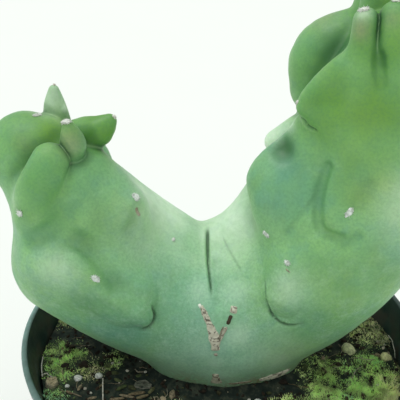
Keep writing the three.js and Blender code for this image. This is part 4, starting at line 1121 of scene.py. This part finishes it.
# ---------------------------------------------------------------- soil
# Patches of moss: [x, y, reach, strength, hue], the hue from blue-green 0 over green to straw 1.
MOSS = [
    [-61.5, -5, 6.5, 1.0, 0.45], [-56, -6.5, 5, 0.5, 0.5], [-60, -15, 5, 0.45, 0.3],
    [-50, -13, 6, 0.3, 0.85], [-61, -25, 6, 0.3, 0.2], [61, 12, 9, 0.6, 0.85], [43, -16, 9.5, 1.0, 0.5],
    [38, -23, 7, 0.9, 0.6], [52, -22, 9, 0.9, 0.1], [44, -28, 9, 0.8, 0.3], [61, -24, 10, 1.0, 0.95],
    [25, -31, 7, 0.6, 0.65], [57, -10, 7, 0.5, 0.25], [-30, -52, 12, 0.6, 0.5], [0, -42, 9, 0.4, 0.4],
    [-40, 40, 14, 0.9, 0.5], [10, 58, 12, 0.8, 0.6], [44, 42, 12, 0.7, 0.4], [-64, 22, 8, 0.7, 0.7],
    [20, -60, 10, 0.6, 0.5], [-41, -8, 5, 0.3, 0.5], [-20, -33, 7, 0.35, 0.85],
]


def moss_patches(x, y):
    """How strong each patch of moss is at the places given."""
    return [strength * bell(np.hypot(x - px, y - py), reach) for px, py, reach, strength, _ in MOSS]


def mossiness(x, y):
    frayed = 1 + 0.7 * flat_noise(x, y, 5, 21) + 0.5 * flat_noise(x, y, 2.6, 26)
    return np.clip(np.max(moss_patches(x, y), axis=0) * frayed - 0.05, 0, 1)


def moss_hue(x, y):
    patches = np.array(moss_patches(x, y))
    tones = np.array([row[4] for row in MOSS])
    return (tones @ patches + 5e-7) / (patches.sum(0) + 1e-6) + 0.12 * flat_noise(x, y, 3, 22)


def soil_height(x, y):
    swell = flat_noise(x, y, SWELL_LENGTH, 1) * SOIL_RELIEF
    crumbs = flat_noise(x, y, CRUMB_LENGTH, 2) * SOIL_RELIEF * CRUMB_SHARE
    toward_wall = smoothstep((np.hypot(x, y) - WALL_DIP_FROM) / WALL_DIP_REACH)
    return SOIL_LEVEL + (swell + crumbs) * (1 - 0.6 * toward_wall) - toward_wall


def soil_top(x, y):
    """The soil's surface with its crumbs, the cushions under the moss and the bank round the stem."""
    lumps = 0.5 * flat_noise(x, y, 2.7, 23) + 0.35 * np.abs(flat_noise(x, y, 1.5, 24))
    lumps += 0.22 * flat_noise(x, y, 0.8, 25)
    bank = smoothstep(1 - foot_distance(np.stack([x, y, np.full(x.shape, SOIL_LEVEL)], -1)) / BANK_REACH)
    return soil_height(x, y) + lumps + 0.9 * mossiness(x, y) + BANK_HEIGHT * bank


def foot_ring(radius, height, grow):
    turn = full_turn(SOIL_SECTORS)
    squared = lambda share: np.sign(share) * np.abs(share) ** STEM_ROUNDNESS
    return np.stack([STEM_X + (STEM_WIDE * radius + grow) * squared(np.cos(turn)),
                     STEM_Y + (STEM_DEEP * radius + grow) * squared(np.sin(turn)),
                     np.full(SOIL_SECTORS, float(height))], -1)


def wall_ring(height, gap=GAP):
    return circle(inner_radius(height) - gap, height, SOIL_SECTORS)


def soil_material():
    paint = Paint("potting_soil", roughness=0.9, specular_ior_level=0.25)
    mottle = paint.noise(3.2, 6, 0.65)
    colour = paint.ramp(mottle, (0.28, (0.006, 0.011, 0.009)), (0.5, (0.016, 0.027, 0.020)),
                        (0.62, (0.050, 0.060, 0.040)), (0.75, (0.022, 0.036, 0.029)))
    green = paint.times(paint.attribute("moss"), paint.between(paint.noise(1.1, 4), 0.3, 0.6))
    colour = paint.mix(green, colour, (0.240, 0.360, 0.130))
    return paint.finish(colour, None, paint.noise(0.7, 5, 0.7), 0.3)


def soil():
    outer = wall_ring(SOIL_LEVEL - 3)
    foot_radii, foot_heights = np.array(STEM_PROFILE, float).T
    inner = foot_ring(np.interp(SOIL_LEVEL, foot_heights, foot_radii), SOIL_LEVEL, 0.3)
    rings = [wall_ring(FLOOR + GAP, 3), wall_ring(FLOOR + 3.4), wall_ring(SOIL_LEVEL - 6)]
    for share in np.linspace(0, 1, SOIL_RINGS):
        ring = outer + (inner - outer) * share
        ring[:, 2] = soil_top(ring[:, 0], ring[:, 1])
        rings.append(ring)
    rings += [foot_ring(radius, height - GAP, GAP) for radius, height in reversed(STEM_PROFILE[:5])]
    points, faces = loft(rings)
    moss = mossiness(points[:, 0], points[:, 1])
    add_piece("soil_bed", points, faces, soil_material(), "soil", ["soil"], moss=moss)


# ---------------------------------------------------------------- stones and bark in the soil
# [x, y, length, width, height, turn in degrees] of each, as in the solids' own source.
PEBBLES = [
    [-53.4, -17, 3.4, 2.8, 2.4, 20], [-45.7, -16.1, 2.8, 2.6, 2.4, 70], [-57, -20, 1.8, 1.6, 1.4, 0],
    [13.2, -28.5, 2.8, 3, 2.2, 40], [50.9, -1.6, 6.6, 4.6, 3.8, 112], [64.6, -5.6, 4.8, 4.2, 3.4, 160],
    [30, 46, 5, 4, 3.4, 80], [-34, 44, 4.4, 3.6, 3, 15], [-8, 54, 5.6, 4.4, 3.6, 140],
    [-12, -48, 5, 4, 3.2, 60], [28, -52, 4.4, 3.6, 3, 100],
]
BARK = [
    [-62.8, -19.2, 5.2, 4.8, 3.6, 108], [-21.5, -29, 6.6, 2.8, 1.8, 75], [-29, -20.5, 7, 4.2, 2, 170],
    [50, 36, 11, 6, 2.6, 65], [8, -58, 13, 6.5, 2.8, 20],
]
PEBBLE_SINK = 0.35
BARK_SINK = 0.5
PALE_STONES = 4
FLAKE_TILT = 16
STONE_TONES = [(0.86, 0.90, 0.82), (0.74, 0.78, 0.44), (0.78, 0.77, 0.40), (0.50, 0.50, 0.42)]
BARK_TONES = [(0.360, 0.310, 0.195), (0.340, 0.280, 0.180), (0.090, 0.100, 0.075), (0.180, 0.100, 0.055)]


def tinted(tone, share):
    """A tone made darker or lighter."""
    return tuple(min(1, share * value) for value in tone)


def turned(points, turn):
    angle = math.radians(turn)
    return points @ np.array(Matrix.Rotation(angle, 3, "Z")).T


def lying_at(points, row, sink):
    x, y, _, _, height, turn = row
    base = float(soil_height(np.array([x]), np.array([y]))[0])
    return turned(points, turn) + [x, y, base + height * (0.5 - sink)]


def stone_material(index):
    paint = Paint(f"stone_{index}", roughness=0.8, specular_ior_level=0.3)
    tone = STONE_TONES[0] if index <= PALE_STONES else STONE_TONES[index % len(STONE_TONES)]
    colour = paint.mix(paint.between(paint.noise(1.2, 5), 0.35, 0.65), tinted(tone, 0.55), tone)
    colour = paint.mix(paint.between(paint.dots(0.6), 0.3, 0.1), colour, tinted(tone, 1.25))
    colour = paint.mix(paint.between(paint.noise(2.5, 3), 0.55, 0.8, 0, 0.4), colour, (0.10, 0.09, 0.05))
    return paint.finish(colour, None, paint.noise(0.5, 5), 0.12)


def stones():
    template, faces = ball(4)
    x, y, z = template.T
    for index, row in enumerate(np.array(PEBBLES, float), 1):
        dent = 1 + 0.16 * flat_noise(x * 2 + index, y * 2 + z, 1, index)
        dent += 0.05 * noise(template * 3.1, index + 30) + 0.02 * noise(template * 8, index + 60)
        points = lying_at(template * dent[:, None] * row[2:5] / 2, row, PEBBLE_SINK)
        add_piece(f"stone_{index}", points, faces, stone_material(index), "pebble", [f"pebble_{index}"])


def bark_material(index):
    paint = Paint(f"bark_{index}", roughness=0.9, specular_ior_level=0.15)
    tone = BARK_TONES[(index - 1) % len(BARK_TONES)]
    fibre = paint.noise(1.2, 5, stretch=(1, 1, 4))
    colour = paint.ramp(fibre, (0.3, tinted(tone, 0.28)), (0.5, tone), (0.7, tinted(tone, 1.6)))
    colour = paint.mix(paint.attribute("rim"), colour, (0.34, 0.33, 0.27))
    return paint.finish(colour, None, fibre, 0.25)


def flake(row, seed, steps=72, rings=9, corners=7):
    """A broken flake, rounded at its rim, with a grain along its length."""
    _, _, length, width, height, _ = row
    turn = full_turn(steps)
    share = turn * corners / (2 * np.pi)
    low = np.floor(share)
    reach = lambda corner: 1 + 0.22 * (lattice(corner % corners, seed, 0, 3) - 0.5)
    straight = np.cos(np.pi / corners) / np.cos((share - low - 0.5) * 2 * np.pi / corners)
    radius = (reach(low) + (reach(low + 1) - reach(low)) * (share - low)) * (0.35 + 0.65 * straight)
    outline = np.stack([np.cos(turn) * length / 2, np.sin(turn) * width / 2], -1) * radius[:, None]
    angles = np.linspace(-1, 1, rings) * np.pi / 2
    edge = [(math.sin(angle), 0.90 + 0.10 * math.cos(angle)) for angle in angles]
    made = []
    for level, size in [(-1, 0.3), (-1, 0.62), *edge, (1, 0.62), (1, 0.3)]:
        x, y = (outline * size).T
        grain = 0.16 * flat_noise(x * 0.6, y * 3.4, 1.5, seed) + 0.10 * flat_noise(x, y, 0.7, seed + 9)
        made.append(np.stack([x, y, height * (0.5 * level + np.sign(level) * grain)], -1))
    points, faces = loft(made)
    outward = np.hypot(points[:, 0] * 2 / length, points[:, 1] * 2 / width)
    tilt = math.radians((float(lattice(seed, 1, 0, 4)) - 0.5) * FLAKE_TILT)
    points = points @ np.array(Matrix.Rotation(tilt, 3, "X")).T
    return points, faces, smoothstep((outward - 0.78) / 0.15) * 0.4


def flakes():
    for index, row in enumerate(BARK, 1):
        points, faces, rim = flake(row, index)
        points = lying_at(points, row, BARK_SINK)
        add_piece(f"flake_{index}", points, faces, bark_material(index), "bark",
                  [f"bark_chip_{index}"], rim=rim)


# ---------------------------------------------------------------- loose bits and moss on the soil
CRUMBS = 1500
GRAINS = 130
ROOTLETS = 190
ROOTLET_STEPS = 9
THREAD_STEP = 0.6
SPIKES = 30000
SPIKE_ROOT = 0.35
# Bits that lie at their own places: [x, y, length, width, height, turn, tone].
LOOSE_BITS = [
    [-42.6, -10.8, 4.2, 2.2, 1.6, 25, 0.62], [-41.2, -9.9, 1.4, 1.1, 1.0, 20, 0.97],
    [-47.6, -24.8, 1.5, 1.2, 1.0, 0, 0.96], [-49.8, -22.8, 1.2, 1.4, 1.0, 40, 0.93],
    [-38.8, -9.6, 1.3, 1.4, 1.0, 10, 0.95], [-35.3, -13.8, 1.1, 1.1, 0.9, 0, 0.95],
    [-28.3, -14.1, 1.2, 1.2, 1.0, 0, 0.97], [10, -26.8, 1.5, 1.1, 0.9, 30, 0.97],
    [63.6, 3, 1.6, 1.3, 1.1, 0, 0.9], [64.9, -0.6, 1.8, 1.2, 1.1, 50, 0.9],
    [66.5, -2.6, 1.4, 1.2, 1.0, 90, 0.86], [61.6, -4.6, 2.6, 2.2, 1.8, 20, 0.78],
    [40.3, -5.2, 2.2, 1.6, 1.2, 60, 0.8], [-59.3, -10.4, 3.4, 2.6, 1.6, 0, 0.12],
    [-17.7, -24.8, 4.8, 2.6, 2.0, 80, 0.8], [-31, -24.5, 7.0, 1.5, 1.0, 10, 0.74],
    [-34, -26.4, 6.2, 1.3, 0.9, -12, 0.79], [-28.5, -26.8, 5.2, 1.4, 1.0, 20, 0.72],
    [-36.5, -22.5, 4.6, 1.6, 1.0, 35, 0.55], [-33, -21.3, 5.0, 2.2, 1.0, -20, 0.45],
    [-25.5, -23, 4.0, 1.6, 1.0, 60, 0.66], [-37.4, -28, 6.0, 1.3, 0.9, 5, 0.76],
    [-30, -29.3, 5.6, 1.2, 0.8, -8, 0.8], [-40, -14.5, 3.2, 1.8, 1.1, 0, 0.5],
    [-52, -21.5, 3.6, 1.3, 0.9, 70, 0.8], [-55.5, -24, 3.2, 1.1, 0.8, -30, 0.74],
    [-46.5, -27, 4.4, 1.2, 0.9, 15, 0.78], [-57.5, -28.5, 3.4, 1.2, 0.8, 40, 0.72],
    [-50.5, -29, 4.0, 1.3, 0.9, -15, 0.83], [-44, -21.5, 3.2, 1.1, 0.8, 55, 0.7],
    [-24.5, -28.2, 3.0, 2.0, 1.1, 30, 0.3], [-38.3, -18.3, 3.6, 1.6, 0.9, -30, 0.62],
    [-30.8, -15.6, 3.0, 1.4, 0.9, 15, 0.55],
]
# Threads and stalks that lie at their own places: points [x, y, height over the soil], radius, tone.
THREADS = [
    ([[-68.3, -7.4, 2.0], [-68.2, -10.6, 1.8], [-67.6, -13.6, 1.2], [-66.9, -16, 0.5]], 0.24, 0.99),
    ([[-67.4, -15.6, 0.8], [-66.6, -14.6, 1.0], [-65.6, -14.3, 1.0], [-64.6, -15.4, 0.8],
        [-62.8, -16.6, 0.6]], 0.2, 0.95),
    ([[-43.8, -18.4, 0.9], [-43.4, -21, 1.3], [-42.9, -25, 1.0], [-42.3, -29.5, 0.3]], 0.26, 0.95),
    ([[-32.4, -12.8, 0.6], [-30.8, -14.2, 1.0], [-28.8, -14.0, 0.7]], 0.2, 0.9),
    ([[68.9, 7, 1.4], [69, 2.6, 2.2], [68.8, -1.8, 1.8], [68.4, -5.6, 0.6]], 0.17, 0.98),
    ([[-23.9, -28.4, 0.5], [-24.1, -27.1, 0.8], [-23.3, -26.4, 0.9], [-22.7, -27.2, 0.8],
        [-23, -28.4, 0.5]], 0.2, 0.85),
]


def scatter(random, count, weight=None, margin=1.0):
    """Random places on the soil outside the stem, thinned by a weight from 0 to 1."""
    places = np.zeros((0, 2))
    while len(places) < count:
        spots = random.uniform(-RIM_RADIUS, RIM_RADIUS, (4 * count, 2))
        x, y = spots.T
        keep = np.hypot(x, y) < inner_radius(SOIL_LEVEL) - margin
        keep &= foot_distance(np.stack([x, y, np.full_like(x, SOIL_LEVEL)], -1)) > margin
        if weight is not None:
            keep &= random.uniform(0, 1, len(spots)) < weight(x, y)
        places = np.vstack([places, spots[keep]])
    return places[:count]


def off_stones(x, y):
    """One away from the stones and flakes, nothing on them."""
    free = np.ones_like(x)
    for px, py, length, width, _, _ in PEBBLES + BARK:
        free *= np.hypot(x - px, y - py) > 0.25 * (length + width) + 0.8
    return free


def on_soil(places, lift):
    x, y = places.T
    return np.stack([x, y, soil_top(x, y) + lift], -1)


def bits_material():
    paint = Paint("loose_bits", roughness=0.9, specular_ior_level=0.2)
    colour = paint.ramp(paint.attribute("tone"), (0.0, (0.012, 0.010, 0.008)),
                        (0.35, (0.050, 0.036, 0.022)), (0.6, (0.095, 0.140, 0.050)),
                        (0.75, (0.230, 0.180, 0.105)), (0.88, (0.420, 0.380, 0.260)),
                        (1.0, (0.800, 0.800, 0.710)))
    damp = paint.between(paint.noise(0.8, 4), 0.35, 0.7, 0, 0.65)
    colour = paint.mix(damp, colour, (0.012, 0.012, 0.009))
    return paint.finish(colour, None, paint.noise(0.4, 4), 0.15)


def crumbs(material):
    random = np.random.default_rng(SEED + 1)
    template, faces = ball(2)
    count = CRUMBS + GRAINS
    sizes = random.gamma(2.2, 0.16, count) + 0.22
    sizes[CRUMBS:] = random.uniform(0.16, 0.42, GRAINS)
    tone = random.beta(1.3, 3.2, count) * 0.9
    tone[CRUMBS:] = random.uniform(0.86, 1.0, GRAINS)
    turns = random_turns(random, count, 0.9)
    stretch = random.uniform(0.55, 1.35, (count, 3)) * [1, 1, 0.7]
    places = on_soil(scatter(random, count, off_stones, margin=1.5), 0.15 * sizes)
    parts = []
    for i in range(count):
        rough = template * (1 + 0.45 * noise(template * 1.9, i))[:, None] * stretch[i]
        parts.append((rough @ turns[i].T * sizes[i] + places[i], faces))
    own_bits = np.array(LOOSE_BITS, float)
    for i, row in enumerate(own_bits):
        rough = template * (1 + 0.25 * noise(template * 1.6, i + 900))[:, None] * row[2:5] / 2
        parts.append((turned(rough, row[5]) + on_soil(row[None, :2], 0.25 * row[4]), faces))
    points, faces, tones = joined(parts, [*tone, *own_bits[:, 6]])
    add_piece("soil_crumbs", points, faces, material, "soil", tone=tones)


def rootlets(material):
    """Thin roots and straws that lie in loose bends on the soil."""
    random = np.random.default_rng(SEED + 2)
    parts, tones = [], []
    for x, y in scatter(random, ROOTLETS, margin=4.0):
        steps = ROOTLET_STEPS
        length = random.uniform(3, 13)
        heading = random.uniform(0, 2 * np.pi) + np.cumsum(random.normal(0, 0.28, steps))
        path = np.cumsum(np.stack([np.cos(heading), np.sin(heading)], -1) * length / steps, axis=0)
        path += [x, y] - path[steps // 2]
        away = np.hypot(*path.T)
        limit = inner_radius(SOIL_LEVEL) - 2
        clear = foot_distance(np.column_stack([path, np.full(steps, SOIL_LEVEL)])) > 1
        if away.max() < limit and clear.all():
            radius = random.uniform(0.09, 0.24)
            lift = 0.5 * np.sin(np.linspace(0, np.pi, steps)) * random.uniform(0.3, 1.6) - 0.1
            parts.append(tube(on_soil(path, lift), np.linspace(radius, 0.5 * radius, steps), 5))
            tones.append(random.choice([0.2, 0.5, 0.72, 0.8, 0.9]))
    for line, radius, tone in THREADS:
        run = smooth_line(line, THREAD_STEP)
        parts.append(tube(on_soil(run[:, :2], run[:, 2]), np.full(len(run), radius)))
        tones.append(tone)
    points, faces, tones = joined(parts, tones)
    add_piece("soil_fibres", points, faces, material, "soil", tone=tones)


def moss_material():
    paint = Paint("moss", roughness=0.75, specular_ior_level=0.3)
    leaf = paint.ramp(paint.attribute("hue"), (0.0, (0.340, 0.700, 0.460)),
                      (0.35, (0.600, 0.960, 0.300)), (0.65, (0.820, 1.000, 0.400)),
                      (0.85, (0.930, 0.920, 0.530)), (1.0, (0.970, 0.920, 0.620)))
    # The leaves darken towards their roots: painted shade between them.
    colour = paint.mix(paint.attribute("tip"), (0.040, 0.070, 0.018), leaf)
    return paint.finish(colour, None)


def moss():
    random = np.random.default_rng(SEED + 3)
    places = scatter(random, SPIKES, lambda x, y: mossiness(x, y) * off_stones(x, y), margin=0.8)
    x, y = places.T
    tuft = flat_noise(x, y, 2.2, 31)
    lengths = random.uniform(0.7, 1.5, SPIKES) * (1 + 0.45 * tuft) * (0.6 + 0.7 * mossiness(x, y))
    lean = np.stack([flat_noise(x, y, 1.6, seed) for seed in (32, 33)], -1)
    lean += random.normal(0, 0.4, (SPIKES, 2))
    ahead = unit(np.column_stack([lean, np.full(SPIKES, 1.0)]))
    roots = on_soil(places, -SPIKE_ROOT)
    side = unit(np.cross(ahead, unit(random.normal(size=(SPIKES, 3)))))
    width = random.uniform(0.15, 0.30, SPIKES)[:, None, None]
    ring = spokes(side, np.cross(ahead, side), 3) * width
    tips = roots + ahead * (lengths + SPIKE_ROOT)[:, None]
    points = np.concatenate([roots[:, None] + ring, tips[:, None]], 1).reshape(-1, 3)
    starts = np.arange(SPIKES)[:, None, None] * 4
    faces = (np.array([[2, 1, 0], [0, 1, 3], [1, 2, 3], [2, 0, 3]]) + starts).reshape(-1, 3)
    hue = np.clip(moss_hue(x, y) + random.normal(0, 0.10, SPIKES), 0, 1)
    shade = np.clip(0.95 + 0.6 * flat_noise(x, y, 3.1, 34), 0.25, 1.15)
    # Each leaf darkens from its tip to its root, which is painted shade, and the clumps are lighter or
    # darker at random.
    tip = (shade[:, None] * [0.7, 0.7, 0.7, 1.1]).ravel()
    add_piece("moss_tufts", points, faces, moss_material(), "soil", smooth=False,
              hue=np.repeat(hue, 4), tip=tip)


# ---------------------------------------------------------------- stage
CAMERA_PLACE = (-7.7, -203.5, 269.0)
CAMERA_PITCH = 27.46
FIELD_OF_VIEW = 34.0
WORLD_STRENGTH = 0.68
KEY_FROM = (-0.3, 0.05, 1.0)
KEY_STRENGTH = 1.3
KEY_SPREAD = 40
FLOOR_HALF = 15.0
PAPER = (0.905, 0.935, 0.895), (0.925, 0.950, 0.915)


def stage():
    camera = bpy.data.cameras.new("camera")
    camera.angle = math.radians(FIELD_OF_VIEW)
    camera.clip_start = 0.01
    eye = bpy.data.objects.new("camera", camera)
    eye.location = [value * MM for value in CAMERA_PLACE]
    eye.rotation_euler = (math.radians(90 - CAMERA_PITCH), 0, 0)
    bpy.context.scene.collection.objects.link(eye)
    bpy.context.scene.camera = eye

    mesh = bpy.data.meshes.new("floor")
    corners = [(x * FLOOR_HALF, y * FLOOR_HALF, 0) for x, y in ((-1, -1), (1, -1), (1, 1), (-1, 1))]
    mesh.from_pydata(corners, [], [(0, 1, 2, 3)])
    paper = Paint("pale_floor", roughness=0.9, specular_ior_level=0.1)
    paper.finish(paper.mix(paper.noise(300, 2), *PAPER))
    mesh.materials.append(paper.material)
    floor = bpy.data.objects.new("floor", mesh)
    bpy.context.scene.collection.objects.link(floor)

    world = bpy.data.worlds.new("studio")
    world.use_nodes = True
    sky = world.node_tree.nodes["Background"].inputs
    sky["Color"].default_value = (0.97, 1.0, 0.98, 1)
    sky["Strength"].default_value = WORLD_STRENGTH
    bpy.context.scene.world = world
    sun = bpy.data.lights.new("soft_key", "SUN")
    sun.energy = KEY_STRENGTH
    sun.angle = math.radians(KEY_SPREAD)
    lamp = bpy.data.objects.new("soft_key", sun)
    lamp.rotation_euler = (-Vector(KEY_FROM)).to_track_quat("-Z", "Y").to_euler()
    bpy.context.scene.collection.objects.link(lamp)
    bpy.context.scene.view_settings.view_transform = "Standard"


stage()
cactus()
areoles()
scars()
pot()
soil()
stones()
flakes()
bits = bits_material()
crumbs(bits)
rootlets(bits)
moss()
